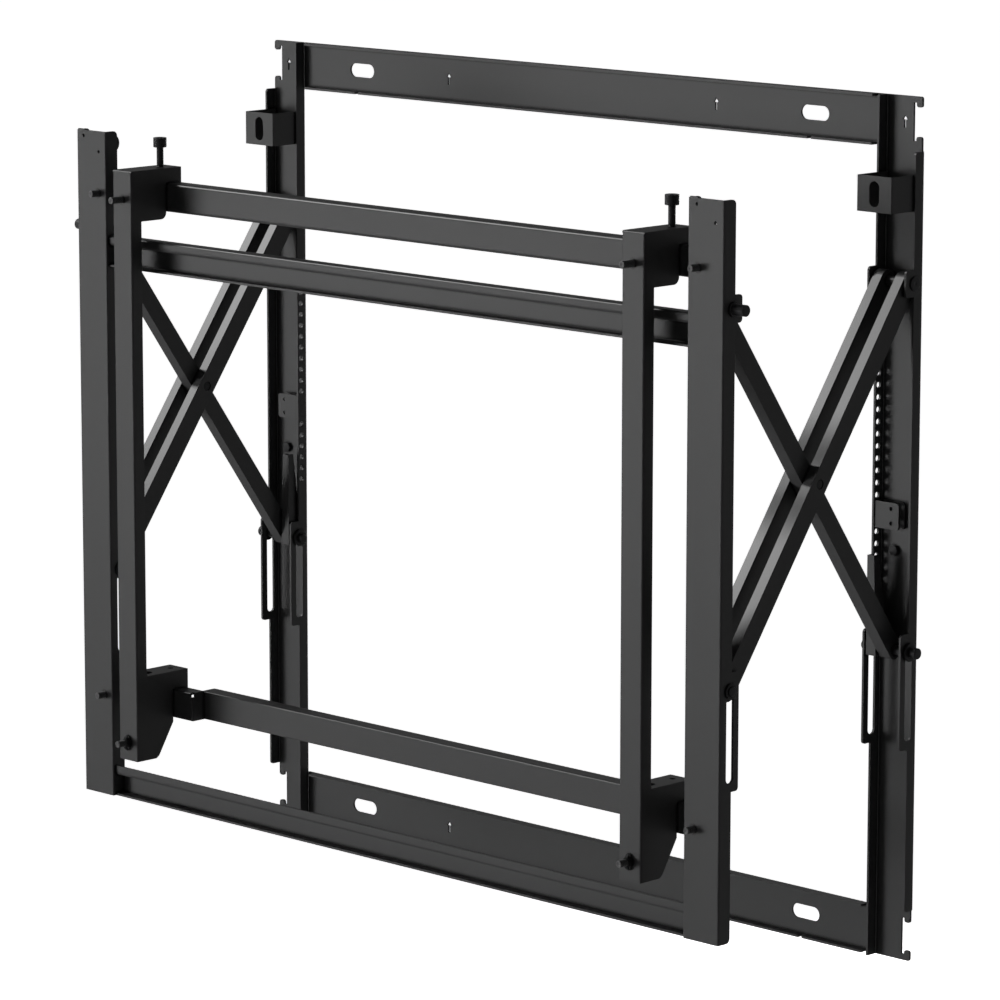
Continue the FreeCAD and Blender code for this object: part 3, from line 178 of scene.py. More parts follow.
floor_mesh = bpy.data.meshes.new("floor")
half = FLOOR_SIZE / 2
corners = [(x * half, y * half, FLOOR_Z) for x, y in ((-1, -1), (1, -1), (1, 1), (-1, 1))]
floor_mesh.from_pydata(corners, [], [(0, 1, 2, 3)])
floor = bpy.data.objects.new("floor", floor_mesh)
scene.collection.objects.link(floor)
floor_finish = bpy.data.materials.new("floor_white")
floor_finish.use_nodes = True
tree = floor_finish.node_tree
tree.nodes.clear()
white = add_node(tree, "ShaderNodeBsdfPrincipled", Roughness=1.0)
white.inputs["Base Color"].default_value = (FLOOR_WHITE, FLOOR_WHITE, FLOOR_WHITE, 1)
white.inputs["Specular IOR Level"].default_value = 0.0
white.inputs["Emission Color"].default_value = (1, 1, 1, 1)
glow = add_node(tree, "ShaderNodeMath", operation="MULTIPLY")
glow.inputs[1].default_value = FLOOR_GLOW
tree.links.new(seen_or_lit(tree), glow.inputs[0])
tree.links.new(glow.outputs[0], white.inputs["Emission Strength"])
floor_out = add_node(tree, "ShaderNodeOutputMaterial")
tree.links.new(white.outputs["BSDF"], floor_out.inputs["Surface"])
floor_mesh.materials.append(floor_finish)
print("floor at", FLOOR_Z, "m")

# %% [markdown]
# Powder coat is sprayed on dry and baked, so it flows into a thin skin with a fine orange peel and small
# grains. It draws back a little from sharp edges, which look paler where they have rubbed. Inner corners get
# painted shade, a darker colour where less light would reach them. Three effects serve every finish, each as
# a node group: the grain gives a height and a tone, the wear mask finds the edges, and the crevice mask
# finds the inner corners for the painted shade.

# %% Node group: coat grain
def new_group(name, sockets_in, sockets_out):
    """An empty shader node group with its sockets, and its input and output nodes."""
    group = bpy.data.node_groups.new(name, "ShaderNodeTree")
    for socket, kind, value in sockets_in:
        group.interface.new_socket(socket, in_out="INPUT", socket_type=kind).default_value = value
    for socket, kind in sockets_out:
        group.interface.new_socket(socket, in_out="OUTPUT", socket_type=kind)
    return group, group.nodes.new("NodeGroupInput"), group.nodes.new("NodeGroupOutput")


FLOAT = "NodeSocketFloat"
GRAIN_SCALE, PEEL_SCALE, CLOUD_SCALE = 1600.0, 260.0, 9.0  # waves to the metre
PEEL_SHARE = 0.45  # the height of the orange peel beside that of the grains
grain_group, g_in, g_out = new_group(
    "coat_grain", [("Grain Scale", FLOAT, GRAIN_SCALE), ("Peel Scale", FLOAT, PEEL_SCALE)],
    [("Height", FLOAT), ("Tone", FLOAT)])
place = add_node(grain_group, "ShaderNodeTexCoord")
fine = add_node(grain_group, "ShaderNodeTexNoise", Detail=2.0)
peel = add_node(grain_group, "ShaderNodeTexNoise", Detail=1.0)
cloud = add_node(grain_group, "ShaderNodeTexNoise", Scale=CLOUD_SCALE, Detail=3.0)
grain_group.links.new(g_in.outputs["Grain Scale"], fine.inputs["Scale"])
grain_group.links.new(g_in.outputs["Peel Scale"], peel.inputs["Scale"])
for texture in (fine, peel, cloud):
    grain_group.links.new(place.outputs["Object"], texture.inputs["Vector"])
height = add_node(grain_group, "ShaderNodeMath", operation="MULTIPLY_ADD")
height.inputs[1].default_value = PEEL_SHARE
grain_group.links.new(peel.outputs["Fac"], height.inputs[0])
grain_group.links.new(fine.outputs["Fac"], height.inputs[2])
grain_group.links.new(height.outputs[0], g_out.inputs["Height"])
grain_group.links.new(cloud.outputs["Fac"], g_out.inputs["Tone"])
print("group:", grain_group.name)

# %% Node group: edge wear
def smooth_step(group, value, start, end):
    """A mask that eases from 0 at the start value to 1 at the end value."""
    step = add_node(group, "ShaderNodeMapRange", interpolation_type="SMOOTHSTEP")
    step.inputs["From Min"].default_value = start
    step.inputs["From Max"].default_value = end
    group.links.new(value, step.inputs["Value"])
    return step.outputs["Result"]


WEAR_RADIUS = 0.0006
WEAR_START, WEAR_FULL = 0.995, 0.86  # cosine between the plain and the rounded normal
PATCH_SCALE = 70.0
wear_group, w_in, w_out = new_group("edge_wear", [("Radius", FLOAT, WEAR_RADIUS)], [("Mask", FLOAT)])
bevelled = add_node(wear_group, "ShaderNodeBevel", samples=4)
wear_group.links.new(w_in.outputs["Radius"], bevelled.inputs["Radius"])
plain = add_node(wear_group, "ShaderNodeNewGeometry")
agree = add_node(wear_group, "ShaderNodeVectorMath", operation="DOT_PRODUCT")
wear_group.links.new(bevelled.outputs["Normal"], agree.inputs[0])
wear_group.links.new(plain.outputs["Normal"], agree.inputs[1])
edge = smooth_step(wear_group, agree.outputs["Value"], WEAR_START, WEAR_FULL)
patch = add_node(wear_group, "ShaderNodeTexNoise", Scale=PATCH_SCALE, Detail=4.0)
patch_place = add_node(wear_group, "ShaderNodeTexCoord")
wear_group.links.new(patch_place.outputs["Object"], patch.inputs["Vector"])
broken = add_node(wear_group, "ShaderNodeMath", operation="MULTIPLY")
wear_group.links.new(edge, broken.inputs[0])
wear_group.links.new(patch.outputs["Fac"], broken.inputs[1])
wear_group.links.new(broken.outputs[0], w_out.inputs["Mask"])
print("group:", wear_group.name)

# %% Node group: painted shade in crevices
# Ambient occlusion finds the closed-in inner corners, where the finishes paint shade in a darker colour.
CREVICE_REACH = 0.003
CREVICE_START, CREVICE_FULL = 0.95, 0.6  # share of the surroundings that is open
corner_shade_group, c_in, c_out = new_group("corner_shade", [("Distance", FLOAT, CREVICE_REACH)], [("Mask", FLOAT)])
closed_in = add_node(corner_shade_group, "ShaderNodeAmbientOcclusion", samples=6)
corner_shade_group.links.new(c_in.outputs["Distance"], closed_in.inputs["Distance"])
depth = smooth_step(corner_shade_group, closed_in.outputs["AO"], CREVICE_START, CREVICE_FULL)
corner_shade_group.links.new(depth, c_out.inputs["Mask"])
print("group:", corner_shade_group.name)

# %% A finish from the groups
# The dark colour painted into inner corners as shade.
CREVICE_SHADE_COLOUR = (0.012, 0.012, 0.012)
ROUGHNESS_DRIFT = 0.05
SHEEN_ROUGHNESS = 0.4
GRAIN_STRENGTH = 0.5


def colour_between(tree, mask, low, high):
    """A colour between two plain ones, by a mask from 0 to 1."""
    ramp = add_node(tree, "ShaderNodeValToRGB")
    ramp.color_ramp.elements[0].color = (*low, 1)
    ramp.color_ramp.elements[1].color = (*high, 1)
    tree.links.new(mask, ramp.inputs["Fac"])
    return ramp.outputs["Color"]


def painted_over(tree, mask, under, colour):
    """A colour socket with a plain colour over it where the mask is 1."""
    mix = add_node(tree, "ShaderNodeMix", data_type="RGBA")
    tree.links.new(mask, mix.inputs["Factor"])
    tree.links.new(under, mix.inputs["A"])
    mix.inputs["B"].default_value = (*colour, 1)
    return mix.outputs["Result"]


def coat_finish(name, dark, light, worn, roughness, grain_height, specular, sheen_weight=0.0):
    """A painted or plated finish: a tone that drifts between dark and light, paler where edges have worn,
    with shade painted darker into crevices, and a grain. The sheen is a thin clear skin over it, as on
    powder coat."""
    finish = bpy.data.materials.new(name)
    finish.use_nodes = True
    tree = finish.node_tree
    tree.nodes.clear()
    skin = add_node(tree, "ShaderNodeBsdfPrincipled")
    skin.inputs["Specular IOR Level"].default_value = specular
    skin.inputs["Coat Weight"].default_value = sheen_weight
    skin.inputs["Coat Roughness"].default_value = SHEEN_ROUGHNESS
    grain = add_node(tree, "ShaderNodeGroup", node_tree=grain_group)
    wear = add_node(tree, "ShaderNodeGroup", node_tree=wear_group)
    corner_shade = add_node(tree, "ShaderNodeGroup", node_tree=corner_shade_group)
    body = colour_between(tree, grain.outputs["Tone"], dark, light)
    edged = painted_over(tree, wear.outputs["Mask"], body, worn)
    # Inner corners are painted darker here, as painted shade.
    shade_darkened = painted_over(tree, corner_shade.outputs["Mask"], edged, CREVICE_SHADE_COLOUR)
    tree.links.new(shade_darkened, skin.inputs["Base Color"])
    rough = add_node(tree, "ShaderNodeMapRange")
    rough.inputs["To Min"].default_value = roughness - ROUGHNESS_DRIFT
    rough.inputs["To Max"].default_value = roughness + ROUGHNESS_DRIFT
    tree.links.new(grain.outputs["Tone"], rough.inputs["Value"])
    tree.links.new(rough.outputs["Result"], skin.inputs["Roughness"])
    bump = add_node(tree, "ShaderNodeBump", Distance=grain_height, Strength=GRAIN_STRENGTH)
    tree.links.new(grain.outputs["Height"], bump.inputs["Height"])
    tree.links.new(bump.outputs["Normal"], skin.inputs["Normal"])
    out = add_node(tree, "ShaderNodeOutputMaterial")
    tree.links.new(skin.outputs["BSDF"], out.inputs["Surface"])
    return finish


COAT_GRAIN, PLATE_GRAIN, RUBBER_GRAIN = 0.00002, 0.00001, 0.00003
SHEEN = 0.2
powder_coat = coat_finish("powder_coat", (0.08, 0.08, 0.081), (0.09, 0.09, 0.091), (0.12, 0.12, 0.12),
                          0.6, COAT_GRAIN, 0.0, SHEEN)
arm_coat = coat_finish("arm_coat", (0.074, 0.074, 0.075), (0.086, 0.086, 0.087), (0.115, 0.115, 0.115),
                       0.6, COAT_GRAIN, 0.0, SHEEN)
black_plate = coat_finish("black_plate", (0.03, 0.03, 0.031), (0.045, 0.045, 0.047), (0.09, 0.09, 0.09),
                          0.45, PLATE_GRAIN, 0.06)
stud_plate = coat_finish("stud_plate", (0.055, 0.055, 0.056), (0.07, 0.07, 0.071), (0.1, 0.1, 0.1),
                         0.36, PLATE_GRAIN, 0.1)
stud_tip = coat_finish("stud_tip", (0.11, 0.11, 0.112), (0.135, 0.135, 0.137), (0.16, 0.16, 0.16),
                       0.4, PLATE_GRAIN, 0.1)
wing_paint = coat_finish("wing_paint", (0.014, 0.014, 0.015), (0.02, 0.02, 0.021), (0.04, 0.04, 0.04),
                         0.6, PLATE_GRAIN, 0.03)
rubber = coat_finish("rubber", (0.016, 0.016, 0.016), (0.022, 0.022, 0.022), (0.028, 0.028, 0.028),
                     0.7, RUBBER_GRAIN, 0.1)
print("finishes:", len(bpy.data.materials) - 1)

# %% [markdown]
# The sheet comes in as loose triangles with square cut edges. Real cut edges are never that sharp once they
# are coated, so each piece is welded into one skin, gets a narrow bevel on its sharp edges, and takes its
# shading from its large flat faces. These are modifiers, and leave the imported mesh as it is.

# %% Finish the sheet pieces
SLOT_FINISH = {
    "powder_coat": powder_coat,
    "arm_coat": arm_coat,
    "steel": stud_plate,
    "dark_steel": black_plate,
    "rubber": rubber,
}
WELD = 0.01 * MM
EDGE_ROUNDING = 0.25 * MM
SHARP = math.radians(35)
FLAT = math.radians(0.2)


def soften(piece, rounding):
    """Weld the triangles, join flat ones, bevel the sharp edges and shade from the flat faces."""
    weld = piece.modifiers.new("weld", "WELD")
    weld.merge_threshold = WELD
    flat = piece.modifiers.new("flat", "DECIMATE")
    flat.decimate_type = "DISSOLVE"
    flat.angle_limit = FLAT
    bevel = piece.modifiers.new("bevel", "BEVEL")
    bevel.width = rounding
    bevel.segments = 2
    bevel.limit_method = "ANGLE"
    bevel.angle_limit = SHARP
    bevel.use_clamp_overlap = True
    normals = piece.modifiers.new("normals", "WEIGHTED_NORMAL")
    normals.keep_sharp = True


slot_of = {entry["node"]: entry["material_slot"] for entry in frame["record"]["subparts"]}
for name, piece in frame["nodes"].items():
    piece.data.materials.clear()
    piece.data.materials.append(SLOT_FINISH[slot_of[name]])
    soften(piece, EDGE_ROUNDING)
print("slots:", sorted(set(slot_of.values())), len(slot_of))

# %% [markdown]
# Everything round on the mount was turned on a lathe or rolled, so its surface is a profile carried round
# an axis. Here a profile is a list of distances along the axis and radii. Each becomes a ring of points, and
# rings next to each other are joined by quads. A screw's thread and a nut's flats only change the radius
# with the angle, so the same rings make them too, without any cutting of one shape by another.

# %% Rings and bands
AROUND = 48
TURN = np.arange(AROUND) * (2 * np.pi / AROUND)
HEXAGON = np.cos(np.pi / 6) / np.cos(TURN % (np.pi / 3) - np.pi / 6)
OPEN = 99.0  # mm, a radius beyond every hexagon
CURVE_POINTS = 4  # on each rounded corner
LONGEST_CUT = 0.45  # of a leg, so that the curves at its two ends don't meet


def rounded(corners, radius):
    """The profile with its inner corners rounded: each gives way to four points of the curve
    (1 - t)^2 start + 2 t (1 - t) corner + t^2 end, whose start and end lie a radius along the two legs."""
    points = np.array(corners, float)
    corner = points[1:-1]
    legs = np.stack([points[:-2] - corner, points[2:] - corner])
    reach = np.linalg.norm(legs, axis=2, keepdims=True)
    start, end = corner + legs / reach * np.minimum(radius, LONGEST_CUT * reach)
    t = np.linspace(0, 1, CURVE_POINTS)[None, :, None]
    arcs = (1 - t) ** 2 * start[:, None] + 2 * t * (1 - t) * corner[:, None] + t ** 2 * end[:, None]
    return np.concatenate([points[:1], arcs.reshape(-1, 2), points[-1:]])


def plain_band(corners, rounding=0.0, paint=0):
    """Rings with the same radius all round, one at each point of the profile."""
    points = rounded(corners, rounding) if rounding else np.array(corners, float)
    return points[:, 0], np.tile(points[:, 1:], (1, AROUND)), paint


def hex_band(corners, corner_radius, paint=0):
    """Rings of a hexagon: R cos 30 / cos(angle from the flat's middle), cut back to the profile's radius."""
    points = np.array(corners, float)
    return points[:, 0], np.minimum(points[:, 1:], corner_radius * HEXAGON), paint


print("rings of", AROUND, "points")

# %% A screw thread
PITCH = 1.0  # mm
THREAD_DEPTH = 0.3
ROWS = 8  # rings in each turn of the thread
STEEP, LEVEL = 1.5, 0.25  # of the wave: how much steeper than without flats, and what the foot cuts off


def thread_band(start, end, crest, paint=0):
    """Rings of a thread: the radius is crest - depth * wave(a / pitch - t / full turn), where the wave rises
    and falls once a turn with a flat top and foot, and fades out over one pitch at both ends."""
    along = np.linspace(start, end, int(round((end - start) / PITCH * ROWS)) + 1)
    phase = (along[:, None] / PITCH - TURN / (2 * np.pi)) % 1.0
    wave = np.clip(np.abs(2 * phase - 1) * STEEP - LEVEL, 0.0, 1.0)
    fade = np.clip(np.minimum(along - start, end - along) / PITCH, 0.0, 1.0)[:, None]
    return along, crest - THREAD_DEPTH * fade * wave, paint


print("thread of pitch", PITCH, "mm")

# %% Carry bands round an axis
def directions(axis, way):
    """The axis, and two directions across it that make a right-handed set."""
    k = "xyz".index(axis)
    unit = np.eye(3)
    along, first, second = unit[k], unit[(k + 1) % 3], unit[(k + 2) % 3]
    return (along, first, second) if way > 0 else (-along, second, first)


def lathe(origin, axis, bands, ends=None, way=1):
    """A closed shell, in mm: the point at distance a and angle t is origin + a axis + r (cos t u + sin t w).
    With ends, a pole closes each end at that distance. Without, the last ring joins the first."""
    forward, across, up = directions(axis, way)
    along = np.concatenate([band[0] for band in bands])
    radius = np.concatenate([band[1] for band in bands])
    paint = np.concatenate([np.full(len(band[0]), band[2]) for band in bands])
    spoke = np.cos(TURN)[:, None] * across + np.sin(TURN)[:, None] * up
    points = np.array(origin) + along[:, None, None] * forward + radius[:, :, None] * spoke
    index = np.arange(radius.size).reshape(radius.shape)
    if ends is None:
        index = np.concatenate([index, index[:1]])
    turned = np.roll(index, -1, axis=1)
    quads = np.stack([index[:-1], turned[:-1], turned[1:], index[1:]], axis=-1)
    faces = quads.reshape(-1, 4).tolist()
    paints = np.repeat(paint[:len(quads)], AROUND).tolist()
    points = points.reshape(-1, 3)
    if ends is not None:
        poles = np.array(origin) + np.array(ends)[:, None] * forward
        count = len(points)
        points = np.concatenate([points, poles])
        first = np.stack([np.full(AROUND, count), turned[0], index[0]], axis=-1)
        last = np.stack([np.full(AROUND, count + 1), index[-1], turned[-1]], axis=-1)
        faces += first.tolist() + last.tolist()
        paints += [int(paint[0])] * AROUND + [int(paint[-1])] * AROUND
    return points, faces, paints


def new_piece(node, shells, finishes):
    """One mesh of all the shells, which rides with the node's body and stands for the node."""
    points, faces, paints, count = [], [], [], 0
    for shell_points, shell_faces, shell_paints in shells:
        points.append(shell_points)
        faces += [[i + count for i in face] for face in shell_faces]
        paints += shell_paints
        count += len(shell_points)
    mesh = bpy.data.meshes.new("turned_" + node)
    mesh.from_pydata(np.concatenate(points) * MM, [], faces)
    for finish in finishes:
        mesh.materials.append(finish)
    mesh.polygons.foreach_set("material_index", paints)
    mesh.polygons.foreach_set("use_smooth", np.ones(len(faces), bool))
    mesh.set_sharp_from_angle(angle=SHARP)
    piece = bpy.data.objects.new("turned_" + node, mesh)
    scene.collection.objects.link(piece)
    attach(piece, body_of[node])
    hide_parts(node)
    return piece


body_of = {node: body for body, nodes in frame["record"]["behaviour"]["bodies"].items() for node in nodes}


def box_mm(node):
    """The node's lowest and highest corners and its middle, in mm."""
    low, high = np.array(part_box(node)) / MM
    return low, high, (low + high) / 2


print("bodies:", len(set(body_of.values())))

# %% [markdown]
# The studs are threaded bars with a flat tip. The tip is paler than the rest, because its plating rubs off
# first, and keeps the faint centre mark of the lathe. Depth studs carry two collars that hold the display
# rail's web between them.

# %% Depth studs
STUD_RADIUS = 3.0
TIP, SHANK = 0, 1
COLLAR_RADIUS, COLLAR_ROUNDING = 5.2, 0.3
COLLARS = ((12.9, 10.3), (7.7, 5.1))  # mm from the tail to the ends of each collar
MARK_DEPTH = 0.3
MARK_PROFILE = [(0.22, 0.35), (0.0, 0.7), (0.0, 2.6)]
CHAMFER_PROFILE = [(0.15, 2.8)]
THREAD_START, THREAD_GAP = 0.5, 0.4
TAIL_CHAMFER, TAIL_RADIUS = 0.5, 2.5


def stud_tip_bands():
    """The centre mark, the tip's flat ring and the chamfer up to the thread."""
    return [plain_band(MARK_PROFILE, paint=TIP), plain_band(CHAMFER_PROFILE, paint=SHANK)]


for node in [f"depth_stud_{level}_{side}" for level in ("upper", "lower") for side, _ in SIDES]:
    low, high, middle = box_mm(node)
    length = high[1] - low[1]
    profile = []
    for near, far in COLLARS:
        profile += [(length - near, STUD_RADIUS), (length - near, COLLAR_RADIUS)]
        profile += [(length - far, COLLAR_RADIUS), (length - far, STUD_RADIUS)]
    bands = stud_tip_bands() + [
        thread_band(THREAD_START, profile[0][0] - THREAD_GAP, STUD_RADIUS, SHANK),
        plain_band(profile, COLLAR_ROUNDING, SHANK),
        plain_band([(length - TAIL_CHAMFER, STUD_RADIUS), (length, TAIL_RADIUS)], paint=SHANK),
    ]
    new_piece(node, [lathe((middle[0], low[1], middle[2]), "y", bands, (MARK_DEPTH, length))],
              [stud_tip, stud_plate])
    print(node, "length", round(length, 1), "mm")

# %% Display studs
STUD_LEVELS = (237.0, -239.0)
BRACKET_X, DISPLAY_TIP_Y = 300.0, -266.5
DISPLAY_REACH, DISPLAY_THREAD_GAP = 12.9, 0.3
# In the sheet the stud is a little thicker, and behind it lies its flat head.
SEAT_PROFILE = [(0.0, STUD_RADIUS), (0.0, 3.4), (2.0, 3.4), (2.0, 4.5), (3.5, 4.5), (3.5, 1.0)]
seat = [(DISPLAY_REACH + a, r) for a, r in SEAT_PROFILE]
display_stud_bands = stud_tip_bands() + [
    thread_band(THREAD_START, DISPLAY_REACH - DISPLAY_THREAD_GAP, STUD_RADIUS, SHANK),
    plain_band(seat, COLLAR_ROUNDING, SHANK),
]
for side, sign in SIDES:
    places = [(sign * BRACKET_X, DISPLAY_TIP_Y, z) for z in STUD_LEVELS]
    shells = [lathe(place, "y", display_stud_bands, (MARK_DEPTH, seat[-1][0])) for place in places]
    new_piece("display_studs_" + side, shells, [stud_tip, stud_plate])
print("display studs at", STUD_LEVELS)

# %% [markdown]
# The height screws are socket-head screws. Their nuts, and those of the depth studs, are plain hexagon nuts,
# chamfered at both ends: the flats are cut back to a cone there.

# %% Height screws, nuts and pads
HEAD_RADIUS, HEAD_HEIGHT, KEY_RADIUS, KEY_DEPTH = 5.8, 8.4, 3.0, 4.5
KEY_RIM, KEY_CHAMFER, HEAD_ROUNDING = 3.35, 0.3, 0.6
FOOT_PROFILE = [(0.0, 2.3), (0.5, 2.9)]
FOOT = 0.6  # mm from the foot's end to the thread
PLAIN_SHANK = 15.0  # mm under the head without a thread
SHANK_STEP = 0.1  # mm between the thread's last ring and the plain shank
NUT_CORNER, NUT_HEIGHT, BORE = 5.77, 5.0, 3.05
NUT_END = [(0.0, 4.85), (0.3, 5.35), (0.6, OPEN)]
BORE_END = [(0.45, BORE), (0.0, 3.5)]
PAD_PROFILE = [(0.0, 5.0), (0.0, 6.0), (3.0, 6.0), (3.0, 3.9), (2.8, 3.6)]
PAD_ROUNDING = 0.4


def from_far_end(profile, length):
    """The profile of the same shape at the other end of a bar, in reverse order."""
    return [(length - a, r) for a, r in reversed(profile)]


def nut_bands():
    """The outside of a nut from one face to the other, then its bore back to the start."""
    outside = NUT_END + from_far_end(NUT_END, NUT_HEIGHT)
    bore = from_far_end(BORE_END, NUT_HEIGHT) + BORE_END
    return [hex_band(outside, NUT_CORNER), plain_band(bore)]


def screw_bands(length):
    """A socket-head screw: chamfered foot, thread, plain shank, head and the socket for the key."""
    neck = length - HEAD_HEIGHT
    head = [(neck, STUD_RADIUS), (neck, HEAD_RADIUS), (length, HEAD_RADIUS), (length, KEY_RIM)]
    return [
        plain_band(FOOT_PROFILE),
        thread_band(FOOT, neck - PLAIN_SHANK, STUD_RADIUS),
        plain_band([(neck - PLAIN_SHANK + SHANK_STEP, STUD_RADIUS), *head], HEAD_ROUNDING),
        hex_band([(length - KEY_CHAMFER, OPEN), (length - KEY_DEPTH, OPEN)], KEY_RADIUS),
    ]


for side, _ in SIDES:
    node = "height_screw_" + side
    low, high, middle = box_mm(node)
    length = high[2] - low[2]
    place = (middle[0], middle[1], low[2])
    new_piece(node, [lathe(place, "z", screw_bands(length), (0.0, length - KEY_DEPTH))], [black_plate])
    node = "height_nut_" + side
    low, _, middle = box_mm(node)
    new_piece(node, [lathe((middle[0], middle[1], low[2]), "z", nut_bands())], [black_plate])
    node = "screw_pad_" + side
    low, _, middle = box_mm(node)
    pad = plain_band(PAD_PROFILE, PAD_ROUNDING)
    place = (middle[0], middle[1], low[2])
    new_piece(node, [lathe(place, "z", [pad], (0.0, PAD_PROFILE[-1][0]))], [black_plate])
STUD_X, STUD_Z, NUT_Y = 351.5, (236.8, -206.8), -234.0
places = [(sign * STUD_X, NUT_Y, z) for _, sign in SIDES for z in STUD_Z]
shells = [lathe(place, "y", nut_bands()) for place in places]
new_piece("stud_nuts", shells, [black_plate])
print("nuts:", len(shells) + len(SIDES))

# %% [markdown]
# A wing nut holds the display's carrier on each lower stud. Its hub is a ring, and each wing is a thin
# rounded section carried along a curve that sweeps back towards the bracket and closes at its tip.

# %% Wing nuts
HUB_RADIUS, HUB_HEIGHT = 4.0, 4.2
WING_ROOT, WING_TIP, WING_SWEEP = 2.6, 7.0, 2.2
WING_HALF_WIDTH, WING_HALF_SHEET = 1.8, 0.8
WING_RINGS, ROOT_SWELL, WING_LIFT = 16, 0.6, 0.2
WING_CLOSE = 0.995 * np.pi / 2  # just short of the tip, where the section would shrink to a point
HUB_PROFILE = [(0.3, 3.3), (0.0, 3.5), (0.0, 3.75), (0.3, HUB_RADIUS), (HUB_HEIGHT - 0.3, HUB_RADIUS),
               (HUB_HEIGHT, 3.7), (HUB_HEIGHT, 3.3), (HUB_HEIGHT - 0.4, BORE), (0.6, BORE)]


def wing(origin, way):
    """A wing, in mm: at s from 0 to 1 its middle lies at z = root + (tip - root) s and y = sweep s^2. Its
    section is a box with round corners, |x / w|^4 + |y / h|^4 = 1, which shrinks as (1 - s^6)^(1/2) to its
    tip, and whose half height h swells by a share (1 - s) towards the root."""
    s = np.sin(np.linspace(0, WING_CLOSE, WING_RINGS))[:, None]
    shrink = np.sqrt(1 - s ** 6)
    wide = np.sign(np.cos(TURN)) * np.sqrt(np.abs(np.cos(TURN)))
    thick = np.sign(np.sin(TURN)) * np.sqrt(np.abs(np.sin(TURN)))
    x = WING_HALF_WIDTH * shrink * wide
    y = WING_HALF_SHEET * (1 + ROOT_SWELL * (1 - s)) * shrink * thick
    y = y + WING_SWEEP * s ** 2 + WING_HALF_SHEET + WING_LIFT
    z = (WING_ROOT + (WING_TIP - WING_ROOT) * s) * np.ones_like(x)
    points = np.stack([way * x, y, way * z], axis=-1) + origin
    index = np.arange(x.size).reshape(x.shape)
    turned = np.roll(index, -1, axis=1)
    quads = np.stack([index[:-1], turned[:-1], turned[1:], index[1:]], axis=-1).reshape(-1, 4)
    poles = points[[0, -1]].mean(axis=1)
    first = np.stack([np.full(AROUND, x.size), turned[0], index[0]], axis=-1)
    last = np.stack([np.full(AROUND, x.size + 1), index[-1], turned[-1]], axis=-1)
    faces = quads.tolist() + first.tolist() + last.tolist()
    return np.concatenate([points.reshape(-1, 3), poles]), faces, [0] * len(faces)


for side, _ in SIDES:
    node = "wing_nut_" + side
    low, _, middle = box_mm(node)
    origin = (middle[0], low[1], middle[2])
    hub = lathe(origin, "y", [plain_band(HUB_PROFILE)])
    new_piece(node, [hub, wing(origin, 1), wing(origin, -1)], [wing_paint])
print("wing nuts:", len(SIDES))

# %% [markdown]
# The pins are turned bars. A riveted end is a low crown with the small dimple of the riveting tool, and a
# loose end is rounded. The axle's outer end has a cap that is a little wider, and a front pivot pin has two
# collars and a thicker outer end.

# %% Pins and axles
SIDE_X = 360.0
PIN, BARREL, PIN_COLLAR = 4.0, 4.6, 6.0
INNERMOST = 1.5  # mm, radius of the last ring of points before the middle of a pin's end
AXIS_Y, FRONT_AXIS_Y, PIVOT_Z = -11.65, -224.35, 205.9
FRONT_PIN_INNER, AXLE_INNER = 18.7, 27.0  # mm that a pin reaches inwards from the middle of its side
PIN_ROUNDING, LOOSE_ROUNDING, CROWN_ROUNDING = 0.5, 0.45, 0.35
FRONT_PIN_PROFILE = [
    (0.0, 3.0), (0.0, PIN), (2.3, PIN), (2.3, PIN_COLLAR), (3.9, PIN_COLLAR), (3.9, PIN), (37.7, PIN),
    (37.7, PIN_COLLAR), (39.3, PIN_COLLAR), (39.3, BARREL), (50.7, BARREL), (50.7, INNERMOST),
]
AXLE_PROFILE = [
    (0.0, INNERMOST), (0.0, PIN), (54.0, PIN), (54.0, BARREL), (57.0, BARREL), (57.0, INNERMOST),
]
WALL_PIN_LENGTH, GUIDE_PIN_LENGTH, CROSSING_PIN_LENGTH = 43.4, 43.0, 31.2
DIMPLE_DEPTH = 0.35
CROWN = [(DIMPLE_DEPTH, 0.8), (0.0, INNERMOST), (0.0, 5.6), (1.4, 5.6), (1.4, PIN)]


def outward_pin(profile, inner, y, z, sign):
    """A pin whose profile runs outwards from its inner end."""
    band = plain_band(profile, PIN_ROUNDING)
    return lathe((sign * (SIDE_X - inner), y, z), "x", [band], (0.0, profile[-1][0]), way=sign)


crowned = plain_band(CROWN + from_far_end(CROWN, WALL_PIN_LENGTH), CROWN_ROUNDING)
shells = []
for _, sign in SIDES:
    place = (sign * SIDE_X - WALL_PIN_LENGTH / 2, AXIS_Y, PIVOT_Z)
    shells.append(lathe(place, "x", [crowned], (DIMPLE_DEPTH, WALL_PIN_LENGTH - DIMPLE_DEPTH)))
new_piece("wall_pivot_pins", shells, [black_plate])

shells = [outward_pin(FRONT_PIN_PROFILE, FRONT_PIN_INNER, FRONT_AXIS_Y, PIVOT_Z, sign) for _, sign in SIDES]
new_piece("front_pivot_pins", shells, [black_plate])

for side, sign in SIDES:
    node = "axle_" + side
    middle = box_mm(node)[2]
    new_piece(node, [outward_pin(AXLE_PROFILE, AXLE_INNER, middle[1], middle[2], sign)], [black_plate])
    for kind, length in (("guide_pin_", GUIDE_PIN_LENGTH), ("crossing_pin_", CROSSING_PIN_LENGTH)):
        node = kind + side
        low, _, middle = box_mm(node)
        profile = [(0.0, INNERMOST), (0.0, PIN), (length, PIN), (length, INNERMOST)]
        pin = plain_band(profile, LOOSE_ROUNDING)
        new_piece(node, [lathe((low[0], middle[1], middle[2]), "x", [pin], (0.0, length))], [black_plate])
print("pins:", 5 * len(SIDES))

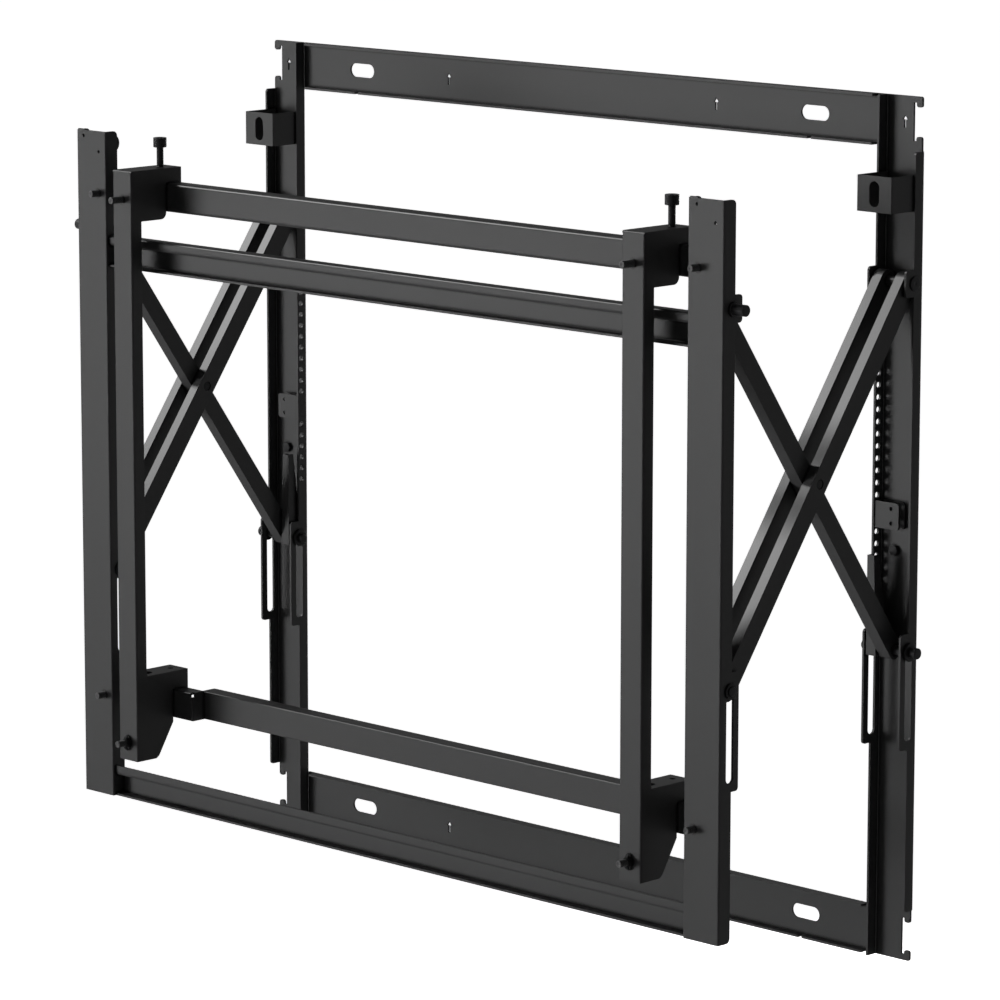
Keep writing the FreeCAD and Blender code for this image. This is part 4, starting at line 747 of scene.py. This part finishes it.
# %% Washers
WASHER_BORE, WASHER_ROUNDING = 4.05, 0.25
SEAM = (5.0, 4.9)  # mm, the radii of the first and the last ring, which meet on one side
WASHERS = (("axle_washers_", 7.5, 2.0), ("guide_washers_", 6.3, 1.4))
for side, _ in SIDES:
    for kind, outer, height in WASHERS:
        node = kind + side
        low, high, middle = box_mm(node)
        profile = [(0.0, SEAM[0]), (0.0, outer), (height, outer), (height, WASHER_BORE), (0.0, WASHER_BORE)]
        ring = plain_band([*profile, (0.0, SEAM[1])], WASHER_ROUNDING)
        shells = [lathe((x, middle[1], middle[2]), "x", [ring]) for x in (low[0], high[0] - height)]
        new_piece(node, shells, [black_plate])
print("washers:", 4 * len(SIDES))

# %% Rail bolts, clip rivets and bumpers
BOLT_OFFSET, BOLT_Z = -3.7, -14.6
BOLT_SHANK = [(0.0, 2.3), (0.3, 2.5), (2.0, 2.5)]
BOLT_CORNER, BOLT_LENGTH = 4.6, 5.0
BOLT_HEAD = [(2.0, 4.2), (2.2, OPEN), (4.6, OPEN), (4.85, 4.3), (BOLT_LENGTH, 3.8)]
bolt_bands = [plain_band(BOLT_SHANK), hex_band(BOLT_HEAD, BOLT_CORNER)]
places = [(sign * SIDE_X + BOLT_OFFSET, 0.0, BOLT_Z) for _, sign in SIDES]
shells = [lathe(place, "y", bolt_bands, (0.0, BOLT_LENGTH), way=-1) for place in places]
new_piece("rail_bolts", shells, [black_plate])

ROW_TOP_Z, ROW_PITCH, ROW_INSET, ROW_X = 129.7, 10.0, 8.0, 339.7
CLIP_ROW = {"right": 11.5, "left": 10.5}  # pitches from the row's top hole to a clip's middle
RIVET_PROFILE = [
    (0.0, 1.2), (0.0, 2.45), (2.0, 2.45), (2.0, 1.9), (3.5, 1.9), (3.75, 1.5), (3.8, 0.9), (3.5, 0.55),
]
RIVET_ROUNDING, RIVET_POLES = 0.2, (0.0, 3.4)
rivet = plain_band(RIVET_PROFILE, RIVET_ROUNDING)
shells = []
for side, sign in SIDES:
    for way in (1, -1):
        z = ROW_TOP_Z - (CLIP_ROW[side] - way * 0.5) * ROW_PITCH
        shells.append(lathe((sign * ROW_X, -ROW_INSET, z), "x", [rivet], RIVET_POLES, way=sign))
new_piece("clip_rivets", shells, [stud_plate])

BUMPER_RADIUS, BUMPER_ROUNDING = 8.0, 3.0
BUMPER_FOOT = [(0.0, 7.7), (0.3, BUMPER_RADIUS), (1.0, BUMPER_RADIUS)]
for side, _ in SIDES:
    node = "bumper_" + side
    low, high, middle = box_mm(node)
    length = high[1] - low[1]
    end = [(2.0, BUMPER_RADIUS), (length, BUMPER_RADIUS), (length, 1.0)]
    bands = [plain_band(BUMPER_FOOT), plain_band(end, BUMPER_ROUNDING)]
    new_piece(node, [lathe((middle[0], low[1], middle[2]), "y", bands, (0.0, length))], [rubber])

# %% Update the view layer
bpy.context.view_layer.update()
